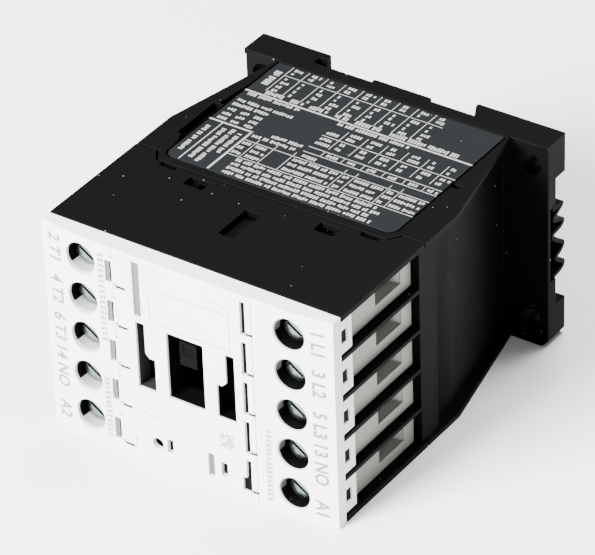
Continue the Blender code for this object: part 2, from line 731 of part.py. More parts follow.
def side_recess_outline():
    """Plan of what is taken off outside the side wall, between the two plates."""
    far_x = SIDE_X + EAR_REACH + CUT_MARGIN
    waist_x = SIDE_X - WAIST_INSET - OVERHANG
    return [
        (SIDE_X - OVERHANG, FLANGE_REAR_Y),
        (far_x, FLANGE_REAR_Y),
        (far_x, EAR_FRONT_Y + EAR_LEDGE),
        (waist_x, EAR_FRONT_Y + EAR_LEDGE),
        (SIDE_X - OVERHANG, TAPER_START_Y),
    ]


def cavity_outline():
    """Plan of the coil room, which narrows with the side walls."""
    wall_x = SIDE_X - OVERHANG - SIDE_WALL
    waist_x = wall_x - WAIST_INSET
    half = [
        (wall_x, CAVITY_FRONT_Y),
        (wall_x, TAPER_START_Y),
        (waist_x, EAR_FRONT_Y),
        (waist_x, CAVITY_REAR_Y),
    ]
    return mirrored(half)


def cavity_mouth(bm):
    """Opening of the coil room towards the contact housing."""
    mouth_x = INNER_WALL_IN_X + GAP
    low = (-mouth_x, FLANGE_FRONT_Y - CUT_MARGIN, PLATE)
    add_box(bm, low, (mouth_x, TAPER_START_Y, HEIGHT - PLATE))


def base_flange(bm):
    """Front flange that closes the terminal chambers from behind."""
    edge_x = SIDE_X - FLANGE_INSET
    low = (INNER_WALL_IN_X + GAP, FLANGE_FRONT_Y, PLATE + GAP)
    add_box_both_sides(bm, low, (edge_x, FLANGE_REAR_Y + CUT_MARGIN / 2, HEIGHT - PLATE - GAP))


def flange_end_trim(bm):
    """Sets the flange ends back from the plates' edges."""
    low = (SIDE_X - FLANGE_INSET, FLANGE_FRONT_Y - CUT_MARGIN, PLATE)
    add_box_both_sides(bm, low, (SIDE_X + CUT_MARGIN, FLANGE_REAR_Y + CUT_MARGIN, HEIGHT - PLATE))


def ear_middle_trim(bm):
    """Takes the ears' middle back from the feet, and makes room for the rail spring."""
    add_box_both_sides(
        bm,
        (RAIL_RIGHT + 2 * RAIL_UNDERCUT + SPRING_PAD, REAR_Y - FOOT_LENGTH, FOOT_HEIGHT),
        (SIDE_X + 2 * CUT_MARGIN, REAR_Y + CUT_MARGIN, HEIGHT - FOOT_HEIGHT),
    )


def rail_spring_room(bm):
    half = SPRING_HALF_Z + GAP
    low = (RAIL_RIGHT - CUT_MARGIN, CHANNEL_Y, MID_Z - half)
    add_box(bm, low, (SIDE_X + 3 * CUT_MARGIN, REAR_Y + 2 * CUT_MARGIN, MID_Z + half))


def rail_finger_room(bm):
    half = SPRING_HALF_Z + GAP
    outer = SIDE_X + EAR_REACH - FINGER_LENGTH_X - SPRING_BACK - 2 * GAP
    low = (outer, EAR_FRONT_Y + 2 * EAR_LEDGE + GAP, MID_Z - half)
    add_box(bm, low, (SIDE_X + 3 * CUT_MARGIN, CHANNEL_Y + GAP, MID_Z + half))


def fixing_holes(bm):
    for side_x in (-1, 1):
        for side_z in (-1, 1):
            x = side_x * FIXING_SPACING_X / 2
            z = MID_Z + side_z * FIXING_SPACING_Z / 2
            add_rod(bm, (x, EAR_FRONT_Y - CUT_MARGIN, z), FIXING_RADIUS, EAR_LENGTH + 2 * CUT_MARGIN, 20)


def base_plate_slots(bm):
    """Long slots beside the label, in both plates, and the short one on the line side."""
    slot_y = JOINT_Y + 7.1 * MM
    slot_length = 12.1 * MM
    for low_z, high_z in ((-CUT_MARGIN, PLATE + 2 * GAP), (HEIGHT - PLATE - 2 * GAP, HEIGHT + CUT_MARGIN)):
        low = (-SIDE_X + 4.2 * MM, slot_y, low_z)
        add_box(bm, low, (-SIDE_X + 6.0 * MM, slot_y + slot_length, high_z))
        stub = (SIDE_X - 6.1 * MM, slot_y + slot_length - 1.1 * MM, low_z)
        add_box(bm, stub, (SIDE_X - 4.3 * MM, slot_y + slot_length, high_z))


def label_outline(grow):
    """Plan of the label: square at the rear, rounded at the front corners."""
    half = LABEL_HALF + grow
    front = JOINT_Y - LABEL_FRONT_BACK - grow
    rear = REAR_Y - LABEL_REAR_INSET + grow
    radius = LABEL_CORNER
    left = corner_arc((-half + radius, front + radius), radius, 180)
    right = corner_arc((half - radius, front + radius), radius, 270)
    return left + right + [(half, rear), (-half, rear)]


def ear_corner_chamfers(bm):
    """Slanted cuts on the ears' lower outer corners."""
    size = EAR_CHAMFER * math.sqrt(2)
    for side in (-1, 1):
        spot = Vector((side * (SIDE_X + EAR_REACH), (EAR_FRONT_Y + REAR_Y) / 2, 0.0))
        frame = Matrix.Translation(spot) @ Matrix.Rotation(math.pi / 4, 4, "Y")
        frame = frame @ Matrix.Diagonal((size, EAR_LENGTH + 2 * CUT_MARGIN, size, 1.0))
        bmesh.ops.create_cube(bm, size=1.0, matrix=frame)


def build_base_housing():
    material = make_material("base_housing", BLACK, 0.58)
    mesh = plate_mesh("base_housing", [base_outline()], 0.0, HEIGHT)
    base = place("base_housing", mesh, material)
    join(base, "base_ears", base_ears)
    channel = plate_mesh("rail_channel", [rail_channel_outline()], -CUT_MARGIN, HEIGHT + CUT_MARGIN)
    combine(base, cutter("rail_channel", channel))
    join(base, "rail_pad", rail_pad)
    for low_z, high_z, name in (
        (0.0, PLATE, "tongue_low"),
        (HEIGHT - PLATE, HEIGHT, "tongue_high"),
    ):
        tongue = plate_mesh(name, [tongue_outline(GAP)], low_z, high_z)
        combine(base, cutter(name, tongue), "UNION")
    recess = side_recess_outline()
    for side, name in ((1, "side_recess_line"), (-1, "side_recess_load")):
        outline = [(side * x, y) for x, y in recess]
        combine(base, cutter(name, plate_mesh(name, [outline], PLATE, HEIGHT - PLATE)))
    join(base, "base_flange", base_flange)
    cut(base, "flange_end_trim", flange_end_trim)
    cavity = plate_mesh("coil_room", [cavity_outline()], PLATE, HEIGHT - PLATE)
    combine(base, cutter("coil_room", cavity))
    cut(base, "coil_room_mouth", cavity_mouth)
    cut(base, "ear_middle_trim", ear_middle_trim)
    cut(base, "rail_spring_room", rail_spring_room)
    cut(base, "rail_finger_room", rail_finger_room)
    cut(base, "fixing_holes", fixing_holes)
    cut(base, "base_plate_slots", base_plate_slots)
    cut(base, "ear_corner_chamfers", ear_corner_chamfers)
    floor_z = HEIGHT - LABEL_THICKNESS - LABEL_SINK - GAP
    pocket = plate_mesh("label_pocket", [label_outline(GAP)], floor_z, HEIGHT + CUT_MARGIN)
    combine(base, cutter("label_pocket", pocket))


def build_rating_label():
    material = make_material("rating_label", LABEL_BLUE, 0.4)
    top = HEIGHT - LABEL_SINK
    mesh = plate_mesh("rating_label", [label_outline(0.0)], top - LABEL_THICKNESS, top)
    place("rating_label", mesh, material)


def strip_half_z():
    return CHAMBER_HALF_Z - 4 * GAP


def build_wire_guides():
    """Light inserts that lead the wires under the clamps; load-side ones are mirror images."""
    material = make_material("wire_guide", INSERT_GREY, 0.5)
    outer = SIDE_X - GUIDE_INSET - SCREW_X
    half = CHAMBER_HALF_Z - GAP
    front = HOUSING_INNER_Y + GUIDE_FRONT
    step = JOINT_Y - GUIDE_STEP_FROM_JOINT
    rear = FLANGE_FRONT_Y - GUIDE_REAR_CLEAR
    window_y = JOINT_Y - WINDOW_FROM_JOINT

    def bore(bm):
        add_rod(bm, (0, front - CUT_MARGIN, 0), SCREW_HEAD_RADIUS + GAP, step - front + 2 * CUT_MARGIN)

    def window(bm):
        low = (outer - GUIDE_WALL - CUT_MARGIN, window_y, -WINDOW_LOW)
        add_box(bm, low, (outer + CUT_MARGIN, window_y + WINDOW_LENGTH, WINDOW_HIGH))

    for side, label in ((1, 0), (-1, 1)):
        outline = [
            (outer, front),
            (outer, rear),
            (outer - GUIDE_WALL, rear),
            (outer - GUIDE_WALL, step),
            (outer - GUIDE_REACH, step),
            (outer - GUIDE_REACH, front),
        ]
        mesh = plate_mesh("wire_guide", [[(side * x, y) for x, y in outline]], -half, half)
        for index in range(POLE_COUNT):
            name = "wire_guide_" + POLE_NAMES[index][label]
            guide = place(name, mesh, material, (side * SCREW_X, 0, pole_z(index)))
            spot = guide.location
            for tool_name, fill in (("_bore", bore), ("_window", window)):
                tool = cutter(name + tool_name, mesh_from(name + tool_name, fill))
                tool.location = spot
                tool.scale = (side, 1, 1)
                combine(guide, tool)


def screw_mesh(material):
    """Terminal screw: cross-slotted cylinder head on a plain shank, head face at the origin."""
    shank = FRONT_Y + SCREW_HEAD_SINK
    shank_length = STRIP_Y + STRIP_THICKNESS * 0.4 - shank

    def body(bm):
        add_rod(bm, (0, 0, 0), SCREW_HEAD_RADIUS, SCREW_HEAD_HEIGHT, 24)

    def stem(bm):
        start = SCREW_HEAD_HEIGHT / 2
        add_rod(bm, (0, start, 0), SCREW_SHANK_RADIUS, shank_length - start, 16)

    def cross(bm):
        half = SCREW_CROSS_LENGTH / 2
        width = SCREW_CROSS_WIDTH / 2
        add_box(bm, (-half, -CUT_MARGIN, -width), (half, SCREW_CROSS_DEPTH, width))

    def cross_bar(bm):
        half = SCREW_CROSS_LENGTH / 2
        width = SCREW_CROSS_WIDTH / 2
        add_box(bm, (-width, -CUT_MARGIN, -half), (width, SCREW_CROSS_DEPTH, half))

    blank = place("screw_blank", mesh_from("screw_blank", body), material)
    join(blank, "screw_stem", stem)
    cut(blank, "screw_cross", cross)
    cut(blank, "screw_cross_bar", cross_bar)
    graph = bpy.context.evaluated_depsgraph_get()
    mesh = bpy.data.meshes.new_from_object(blank.evaluated_get(graph))
    mesh.name = "terminal_screw"
    bpy.data.objects.remove(blank, do_unlink=True)
    return mesh


def each_terminal():
    """Every terminal as its mark, its side (+1 line, -1 load) and its pole number."""
    for index in range(POLE_COUNT):
        for side, label in ((1, 0), (-1, 1)):
            yield POLE_NAMES[index][label], side, index


def build_terminal_screws():
    material = make_material("terminal_screw", ZINC, 0.35, 0.9)
    mesh = screw_mesh(material)
    for mark, side, index in each_terminal():
        spot = (side * SCREW_X, FRONT_Y + SCREW_HEAD_SINK, pole_z(index))
        smooth_round(place("terminal_screw_" + mark, mesh, material, spot))


def build_clamp_plates():
    """Square pressure plates that the screws push down onto the wires."""
    material = make_material("clamp_plate", ZINC, 0.4, 0.9)
    half_z = CHAMBER_HALF_Z - 3 * GAP
    outline = [
        (CLAMP_HALF_X, -half_z),
        (CLAMP_HALF_X, half_z),
        (-CLAMP_HALF_X, half_z),
        (-CLAMP_HALF_X, -half_z),
    ]
    hole = rounded_rectangle(SCREW_SHANK_RADIUS + GAP, SCREW_SHANK_RADIUS + GAP, SCREW_SHANK_RADIUS)
    mesh = plate_mesh("clamp_plate", [outline, hole], 0.0, CLAMP_THICKNESS)
    mesh.transform(Matrix.Rotation(-math.pi / 2, 4, "X"))
    clamp_y = STRIP_Y - CLAMP_OPENING - CLAMP_THICKNESS
    for mark, side, index in each_terminal():
        place("clamp_plate_" + mark, mesh, material, (side * SCREW_X, clamp_y, pole_z(index)))


def strip_blank(name, side, inner_x):
    """Flat strip along X with the screw's clearance hole, as a mesh in part space."""
    half = strip_half_z()
    outer_x = SCREW_X + CLAMP_HALF_X
    outline = [(outer_x, -half), (outer_x, half), (inner_x, half), (inner_x, -half)]
    ring = rounded_rectangle(SCREW_SHANK_RADIUS + GAP, SCREW_SHANK_RADIUS + GAP, SCREW_SHANK_RADIUS)
    hole = [(x + SCREW_X, z) for x, z in ring]
    outlines = [[(side * x, z) for x, z in points] for points in (outline, hole)]
    mesh = plate_mesh(name, outlines, 0.0, STRIP_THICKNESS)
    mesh.transform(Matrix.Rotation(-math.pi / 2, 4, "X"))
    return mesh


def build_fixed_contacts():
    """Brass strips from the clamps to the fixed contact tips."""
    material = make_material("fixed_contact", BRASS, 0.35, 1.0)

    def tip(side):
        def fill(bm):
            spot = (side * CONTACT_X, STRIP_Y - TIP_HEIGHT, 0)
            add_rod(bm, spot, TIP_RADIUS, TIP_HEIGHT + STRIP_THICKNESS / 2, 16)
        return fill

    for side in (1, -1):
        mesh = strip_blank("fixed_contact", side, CONTACT_X - TIP_RADIUS - 2 * GAP)
        mesh.transform(Matrix.Translation((0, STRIP_Y, 0)))
        tool_mesh = mesh_from("fixed_tip", tip(side))
        for mark, mark_side, index in each_terminal():
            if mark_side != side or index == POLE_COUNT - 1:
                continue
            strip = place("fixed_contact_" + mark, mesh, material, (0, 0, pole_z(index)))
            tool = cutter("fixed_tip_" + mark, tool_mesh)
            tool.location = (0, 0, pole_z(index))
            combine(strip, tool, "UNION")


def build_coil_terminals():
    """Strips that lead from the coil's two clamps back to the coil bobbin."""
    material = make_material("coil_terminal", BRASS, 0.35, 1.0)
    index = POLE_COUNT - 1
    inner_x = INNER_WALL_IN_X - 2.6 * MM
    end_y = CORE_FACE_Y - GAP
    for side, mark in ((1, "a1"), (-1, "a2")):
        mesh = strip_blank("coil_terminal_" + mark, side, inner_x)
        mesh.transform(Matrix.Translation((0, STRIP_Y, 0)))
        strip = place("coil_terminal_" + mark, mesh, material, (0, 0, pole_z(index)))

        def leg(bm):
            low_x, high_x = sorted((side * inner_x, side * (inner_x + STRIP_THICKNESS)))
            half = strip_half_z() / 2
            add_box(bm, (low_x, STRIP_Y + STRIP_THICKNESS / 2, -half), (high_x, end_y, half))

        tool = cutter("coil_leg_" + mark, mesh_from("coil_leg_" + mark, leg))
        tool.location = (0, 0, pole_z(index))
        combine(strip, tool, "UNION")


def build_contact_bridges():
    """Moving bridges, each a bar with a contact tip at either end."""
    material = make_material("contact_bridge", SILVER, 0.3, 1.0)

    def bar(bm):
        add_box(bm, (-BRIDGE_HALF, 0, -BRIDGE_HALF_Z), (BRIDGE_HALF, BRIDGE_THICKNESS, BRIDGE_HALF_Z))

    def tips(bm):
        for side in (-1, 1):
            spot = (side * CONTACT_X, BRIDGE_THICKNESS / 2, 0)
            add_rod(bm, spot, TIP_RADIUS, BRIDGE_THICKNESS / 2 + TIP_HEIGHT, 16)

    mesh = mesh_from("contact_bridge", bar)
    tip_mesh = mesh_from("bridge_tips", tips)
    for index in range(POLE_COUNT - 1):
        spot = (0, BRIDGE_FRONT_Y, pole_z(index))
        bridge = place("contact_bridge_%d" % (index + 1), mesh, material, spot)
        tool = cutter("bridge_tips_%d" % (index + 1), tip_mesh)
        tool.location = spot
        combine(bridge, tool, "UNION")


def build_contact_springs():
    material = make_material("contact_spring", STEEL, 0.3, 1.0)
    mesh = coil_mesh(
        "contact_spring", CONTACT_SPRING_RADIUS, CONTACT_SPRING_WIRE, CONTACT_SPRING_LENGTH,
        CONTACT_SPRING_TURNS, 9,
    )
    for index in range(POLE_COUNT - 1):
        spot = (0, SLOT_FRONT_Y + GAP, pole_z(index))
        place("contact_spring_%d" % (index + 1), mesh, material, spot).data.shade_smooth()


def build_contact_carrier():
    """Moulded carrier with a slot for each bridge, the indicator tab and the armature plate."""
    material = make_material("contact_carrier", BLACK, 0.5)
    slot_half = CARRIER_SLOT_HALF
    low_z = pole_z(POLE_COUNT - 2) - slot_half - CARRIER_WALL
    high_z = pole_z(0) + slot_half + CARRIER_WALL

    def column(bm):
        add_box(bm, (-CARRIER_HALF, CARRIER_FRONT_Y, low_z), (CARRIER_HALF, CARRIER_REAR_Y, high_z))

    def slots(bm):
        for index in range(POLE_COUNT - 1):
            z = pole_z(index)
            low = (-CARRIER_HALF - CUT_MARGIN, SLOT_FRONT_Y, z - slot_half)
            add_box(bm, low, (CARRIER_HALF + CUT_MARGIN, SLOT_REAR_Y, z + slot_half))

    def tab(bm):
        middle = MID_Z + TAB_RISE
        low = (-TAB_HALF, FRONT_Y + TAB_SINK, middle - TAB_HEIGHT / 2)
        rear = CARRIER_FRONT_Y + CARRIER_FRONT_BAR / 2
        add_box(bm, low, (TAB_HALF, rear, middle + TAB_HEIGHT / 2))

    def plate(bm):
        low = (-PLATE_HALF, CARRIER_REAR_Y - CARRIER_PLATE, MID_Z - STACK / 2)
        add_box(bm, low, (PLATE_HALF, CARRIER_REAR_Y, MID_Z + STACK / 2))

    carrier = place("contact_carrier", mesh_from("contact_carrier", column), material)
    cut(carrier, "carrier_slots", slots)
    join(carrier, "carrier_tab", tab)
    join(carrier, "carrier_plate", plate)


def magnet_outline(yoke_y, step_y, face_y):
    """E-shaped plan of a lamination stack, with its yoke at yoke_y and its legs up to face_y."""
    half = [
        (OUTER_LEG_OUT, yoke_y),
        (OUTER_LEG_OUT, face_y),
        (OUTER_LEG_IN, face_y),
        (OUTER_LEG_IN, step_y),
        (CENTRE_LEG_HALF, step_y),
        (CENTRE_LEG_HALF, face_y),
    ]
    return mirrored(half)


def build_magnet():
    low_z, high_z = MID_Z - STACK / 2, MID_Z + STACK / 2
    outline = magnet_outline(ARMATURE_FRONT_Y, ARMATURE_YOKE_Y, ARMATURE_FACE_Y)
    mesh = plate_mesh("armature", [outline], low_z, high_z)
    place("armature", mesh, make_material("armature", STEEL, 0.4, 1.0))
    outline = magnet_outline(CORE_REAR_Y, CORE_YOKE_Y, CORE_FACE_Y)
    mesh = plate_mesh("magnet_core", [outline], low_z, high_z)
    place("magnet_core", mesh, make_material("magnet_core", STEEL, 0.4, 1.0))

    def pad(bm):
        low = (-OUTER_LEG_OUT, DAMPER_FRONT_Y, low_z)
        add_box(bm, low, (OUTER_LEG_OUT, DAMPER_FRONT_Y + DAMPER, high_z))

    place("core_damper", mesh_from("core_damper", pad), make_material("core_damper", RUBBER, 0.8))


def build_coil():
    """Bobbin around the core's centre leg, with the copper winding between its flanges."""
    material = make_material("coil_bobbin", BOBBIN_BROWN, 0.5)
    inner_x = CENTRE_LEG_HALF + GAP
    inner_z = STACK / 2 + GAP
    front_y = CORE_FACE_Y + GAP
    rear_y = CORE_YOKE_Y - GAP
    flange_x = OUTER_LEG_IN - GAP
    tube_x = inner_x + BOBBIN_WALL
    tube_z = inner_z + BOBBIN_WALL

    def tube(bm):
        add_box(bm, (-tube_x, front_y, MID_Z - tube_z), (tube_x, rear_y, MID_Z + tube_z))

    def front_flange(bm):
        low = (-flange_x, front_y, MID_Z - BOBBIN_HALF_Z)
        add_box(bm, low, (flange_x, front_y + BOBBIN_FLANGE, MID_Z + BOBBIN_HALF_Z))

    def rear_flange(bm):
        low = (-flange_x, rear_y - BOBBIN_FLANGE, MID_Z - BOBBIN_HALF_Z)
        add_box(bm, low, (flange_x, rear_y, MID_Z + BOBBIN_HALF_Z))

    def bore(bm):
        low = (-inner_x, front_y - CUT_MARGIN, MID_Z - inner_z)
        add_box(bm, low, (inner_x, rear_y + CUT_MARGIN, MID_Z + inner_z))

    bobbin = place("coil_bobbin", mesh_from("coil_bobbin", tube), material)
    join(bobbin, "bobbin_front_flange", front_flange)
    join(bobbin, "bobbin_rear_flange", rear_flange)
    cut(bobbin, "bobbin_bore", bore)

    length = rear_y - front_y - 2 * BOBBIN_FLANGE - 2 * GAP
    outer = rounded_rectangle(flange_x - WINDING_INSET, BOBBIN_HALF_Z - WINDING_INSET, WINDING_CORNER)
    inner = rounded_rectangle(tube_x + GAP, tube_z + GAP, 2 * GAP)
    mesh = plate_mesh("coil_winding", [outer, inner], 0.0, length)
    mesh.transform(Matrix.Rotation(-math.pi / 2, 4, "X"))
    spot = (0, front_y + BOBBIN_FLANGE + GAP, MID_Z)
    place("coil_winding", mesh, make_material("coil_winding", COPPER, 0.4, 0.8), spot)


def build_return_spring():
    """Spring between the bobbin and the armature's yoke, which lifts the carrier to its rest."""
    start_y = ARMATURE_YOKE_Y + GAP
    length = CORE_FACE_Y - start_y
    mesh = coil_mesh(
        "return_spring", RETURN_SPRING_RADIUS, RETURN_SPRING_WIRE, length, RETURN_SPRING_TURNS, 16,
    )
    material = make_material("return_spring", STEEL, 0.3, 1.0)
    place("return_spring", mesh, material, (0, start_y, MID_Z)).data.shade_smooth()


def build_rail_spring():
    """Sprung pusher at the rail channel's line side, with its folded fingers at the outer end."""
    material = make_material("rail_spring", BLACK, 0.5)
    outer_x = SIDE_X + EAR_REACH
    root_x = outer_x - FINGER_LENGTH_X
    bar_low_y = CHANNEL_Y + GAP
    bar_high_y = REAR_Y - 4 * GAP

    def bar(bm):
        low = (RAIL_RIGHT, bar_low_y, MID_Z - SPRING_HALF_Z)
        add_box(bm, low, (root_x, bar_high_y, MID_Z + SPRING_HALF_Z))

    def back(bm):
        low = (root_x - SPRING_BACK, EAR_FRONT_Y + 2 * EAR_LEDGE + 2 * GAP, MID_Z - SPRING_HALF_Z)
        add_box(bm, low, (root_x, bar_high_y - GAP, MID_Z + SPRING_HALF_Z))

    spring = place("rail_spring", mesh_from("rail_spring", bar), material)
    join(spring, "rail_spring_back", back)
    for number, (offset, setback) in enumerate(FINGER_PAIRS):
        def fingers(bm):
            for side in (-1, 1):
                z = MID_Z + side * offset
                low = (root_x - GAP, EAR_FRONT_Y + 2 * EAR_LEDGE + 2 * GAP, z - FINGER_THICKNESS / 2)
                add_box(bm, low, (outer_x, REAR_Y - setback, z + FINGER_THICKNESS / 2))

        join(spring, "rail_spring_fingers_%d" % number, fingers)


build_front_cover()
build_contact_housing()
build_base_housing()
build_rating_label()
build_wire_guides()
build_terminal_screws()
build_clamp_plates()
build_fixed_contacts()
build_coil_terminals()
build_contact_bridges()
build_contact_springs()
build_contact_carrier()
build_magnet()
build_coil()
build_return_spring()
build_rail_spring()
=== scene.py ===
import math
import random

import bmesh
import bpy
from mathutils import Matrix, Vector


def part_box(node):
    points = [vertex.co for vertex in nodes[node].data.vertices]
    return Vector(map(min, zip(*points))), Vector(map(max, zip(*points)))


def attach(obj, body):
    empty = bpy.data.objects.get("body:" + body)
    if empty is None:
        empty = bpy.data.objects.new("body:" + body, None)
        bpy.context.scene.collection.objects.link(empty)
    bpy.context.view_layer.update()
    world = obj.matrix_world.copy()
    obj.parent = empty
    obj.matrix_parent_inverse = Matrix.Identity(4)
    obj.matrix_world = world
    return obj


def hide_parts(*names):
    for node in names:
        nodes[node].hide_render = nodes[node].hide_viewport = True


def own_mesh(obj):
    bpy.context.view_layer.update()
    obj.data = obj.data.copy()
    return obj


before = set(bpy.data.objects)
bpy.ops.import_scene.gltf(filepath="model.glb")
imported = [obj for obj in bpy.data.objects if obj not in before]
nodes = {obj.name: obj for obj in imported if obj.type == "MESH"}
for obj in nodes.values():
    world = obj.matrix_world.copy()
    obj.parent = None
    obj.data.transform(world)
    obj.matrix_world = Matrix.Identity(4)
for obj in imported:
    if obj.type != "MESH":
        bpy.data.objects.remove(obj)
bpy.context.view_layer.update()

MM = 0.001

# Front cover: one light grey moulding that clips over the contact housing. It is injection
# moulded, with a crowned face, round screw openings, snap slits and fine engraved lines.
cover_low, cover_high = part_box("front_cover")
face_y = cover_low.y
middle_z = (cover_low.z + cover_high.z) / 2
pole_pitch = 8.7 * MM
pole_heights = [middle_z + (2 - pole) * pole_pitch for pole in range(5)]
screw_x = 22.7 * MM
bore_radius = 3.24 * MM
liner_radius = 3.19 * MM
print_room = 0.012 * MM
panel_edge = 15.5 * MM
crown_start = 23 * MM
crown_span = 8.7 * MM
field_drop = 0.2 * MM
crown_drop = 1.0 * MM


def weld_and_flatten(mesh):
    """Weld the split corners of a mesh and make every flat area one face again."""
    work = bmesh.new()
    work.from_mesh(mesh)
    bmesh.ops.remove_doubles(work, verts=work.verts, dist=2e-6)
    bmesh.ops.dissolve_limit(
        work, angle_limit=math.radians(0.6), verts=work.verts, edges=work.edges,
    )
    work.to_mesh(mesh)
    work.free()


def moulding_from(node, name):
    """Start a visible moulding from the frame's node, with room for print on the front plane."""
    mesh = nodes[node].data.copy()
    mesh.name = name
    for vertex in mesh.vertices:
        if vertex.co.y < face_y + 0.001 * MM:
            vertex.co.y = face_y + print_room
    mesh.materials.clear()
    weld_and_flatten(mesh)
    piece = bpy.data.objects.new(name, mesh)
    bpy.context.scene.collection.objects.link(piece)
    return piece


def bake_modifiers(piece):
    """Turn a piece's modifiers into plain mesh."""
    graph = bpy.context.evaluated_depsgraph_get()
    finished = bpy.data.meshes.new_from_object(piece.evaluated_get(graph))
    piece.modifiers.clear()
    piece.data = finished


def carve(piece, build_tool, operation="DIFFERENCE"):
    """Cut the shape that build_tool draws out of a piece."""
    work = bmesh.new()
    build_tool(work)
    bmesh.ops.recalc_face_normals(work, faces=work.faces)
    mesh = bpy.data.meshes.new("tool")
    work.to_mesh(mesh)
    work.free()
    tool = bpy.data.objects.new("tool", mesh)
    bpy.context.scene.collection.objects.link(tool)
    cut = piece.modifiers.new("cut", "BOOLEAN")
    cut.operation = operation
    cut.solver = "EXACT"
    cut.use_self = True
    cut.object = tool
    bake_modifiers(piece)
    bpy.data.objects.remove(tool)


def block(work, low, high):
    """Draw a block between two corners."""
    low, high = Vector(low), Vector(high)
    frame_matrix = Matrix.Translation((low + high) / 2) @ Matrix.Diagonal((*(high - low), 1))
    bmesh.ops.create_cube(work, size=1, matrix=frame_matrix)


def turned(work, centre, front_radius, rear_radius, length, segments=48):
    """Draw a cylinder or cone whose axis runs back from centre, along +Y."""
    shift = Matrix.Translation(Vector(centre) + Vector((0, length / 2, 0)))
    bmesh.ops.create_cone(
        work, cap_ends=True, segments=segments, radius1=front_radius, radius2=rear_radius,
        depth=length, matrix=shift @ Matrix.Rotation(-math.pi / 2, 4, "X"),
    )


def soften_edges(piece, width, segments=2):
    """Give a moulding the small edge radius of its mould."""
    piece.data.shade_smooth()
    piece.data.set_sharp_from_angle(angle=math.radians(32))
    radius = piece.modifiers.new("edge radius", "BEVEL")
    radius.width = width
    radius.segments = segments
    radius.limit_method = "ANGLE"
    radius.angle_limit = math.radians(32)
    radius.use_clamp_overlap = False
    radius.harden_normals = True
    bake_modifiers(piece)


def moulded_plastic(name, colour, roughness, grain=0.35, wear=0.12, dust=0.0):
    """Moulded plastic: spark-eroded grain, faint flow marks, paler rubbed edges, dust."""
    material = bpy.data.materials.new(name)
    material.use_nodes = True
    tree = material.node_tree
    shader = tree.nodes["Principled BSDF"]
    shader.inputs["Specular IOR Level"].default_value = 0.4
    place = tree.nodes.new("ShaderNodeTexCoord")

    flow = tree.nodes.new("ShaderNodeTexNoise")
    flow.inputs["Scale"].default_value = 70
    flow.inputs["Detail"].default_value = 4
    tree.links.new(place.outputs["Object"], flow.inputs["Vector"])
    tint = tree.nodes.new("ShaderNodeMix")
    tint.data_type = "RGBA"
    tint.inputs["A"].default_value = (*[value * 0.93 for value in colour], 1)
    tint.inputs["B"].default_value = (*[min(value * 1.06, 1) for value in colour], 1)
    tree.links.new(flow.outputs["Fac"], tint.inputs["Factor"])

    rounded = tree.nodes.new("ShaderNodeBevel")
    rounded.samples = 4
    rounded.inputs["Radius"].default_value = 0.25 * MM
    flat = tree.nodes.new("ShaderNodeNewGeometry")
    turn = tree.nodes.new("ShaderNodeVectorMath")
    turn.operation = "DOT_PRODUCT"
    tree.links.new(rounded.outputs["Normal"], turn.inputs[0])
    tree.links.new(flat.outputs["Normal"], turn.inputs[1])
    rub = tree.nodes.new("ShaderNodeMapRange")
    rub.inputs["From Min"].default_value = 0.985
    rub.inputs["From Max"].default_value = 0.80
    rub.inputs["To Max"].default_value = wear
    tree.links.new(turn.outputs["Value"], rub.inputs["Value"])
    worn = tree.nodes.new("ShaderNodeMix")
    worn.data_type = "RGBA"
    worn.inputs["B"].default_value = (0.72, 0.71, 0.69, 1)
    tree.links.new(rub.outputs["Result"], worn.inputs["Factor"])
    tree.links.new(tint.outputs["Result"], worn.inputs["A"])
    colour_end = worn

    if dust:
        cells = tree.nodes.new("ShaderNodeTexVoronoi")
        cells.inputs["Scale"].default_value = 520
        tree.links.new(place.outputs["Object"], cells.inputs["Vector"])
        near = tree.nodes.new("ShaderNodeMath")
        near.operation = "LESS_THAN"
        near.inputs[1].default_value = 0.06
        tree.links.new(cells.outputs["Distance"], near.inputs[0])
        parts = tree.nodes.new("ShaderNodeSeparateColor")
        tree.links.new(cells.outputs["Color"], parts.inputs["Color"])
        few = tree.nodes.new("ShaderNodeMath")
        few.operation = "GREATER_THAN"
        few.inputs[1].default_value = 0.80
        tree.links.new(parts.outputs["Red"], few.inputs[0])
        both = tree.nodes.new("ShaderNodeMath")
        both.operation = "MULTIPLY"
        tree.links.new(near.outputs["Value"], both.inputs[0])
        tree.links.new(few.outputs["Value"], both.inputs[1])
        faint = tree.nodes.new("ShaderNodeMath")
        faint.operation = "MULTIPLY"
        faint.inputs[1].default_value = dust
        tree.links.new(both.outputs["Value"], faint.inputs[0])
        specks = tree.nodes.new("ShaderNodeMix")
        specks.data_type = "RGBA"
        specks.inputs["B"].default_value = (0.42, 0.41, 0.40, 1)
        tree.links.new(faint.outputs["Value"], specks.inputs["Factor"])
        tree.links.new(worn.outputs["Result"], specks.inputs["A"])
        colour_end = specks
    tree.links.new(colour_end.outputs["Result"], shader.inputs["Base Color"])

    polish = tree.nodes.new("ShaderNodeMapRange")
    polish.inputs["To Min"].default_value = roughness - 0.07
    polish.inputs["To Max"].default_value = roughness + 0.07
    tree.links.new(flow.outputs["Fac"], polish.inputs["Value"])
    tree.links.new(polish.outputs["Result"], shader.inputs["Roughness"])

    spark = tree.nodes.new("ShaderNodeTexNoise")
    spark.inputs["Scale"].default_value = 3200
    spark.inputs["Detail"].default_value = 2
    tree.links.new(place.outputs["Object"], spark.inputs["Vector"])
    relief = tree.nodes.new("ShaderNodeBump")
    relief.inputs["Strength"].default_value = grain
    relief.inputs["Distance"].default_value = 0.02 * MM
    tree.links.new(spark.outputs["Fac"], relief.inputs["Height"])
    tree.links.new(relief.outputs["Normal"], shader.inputs["Normal"])
    return material


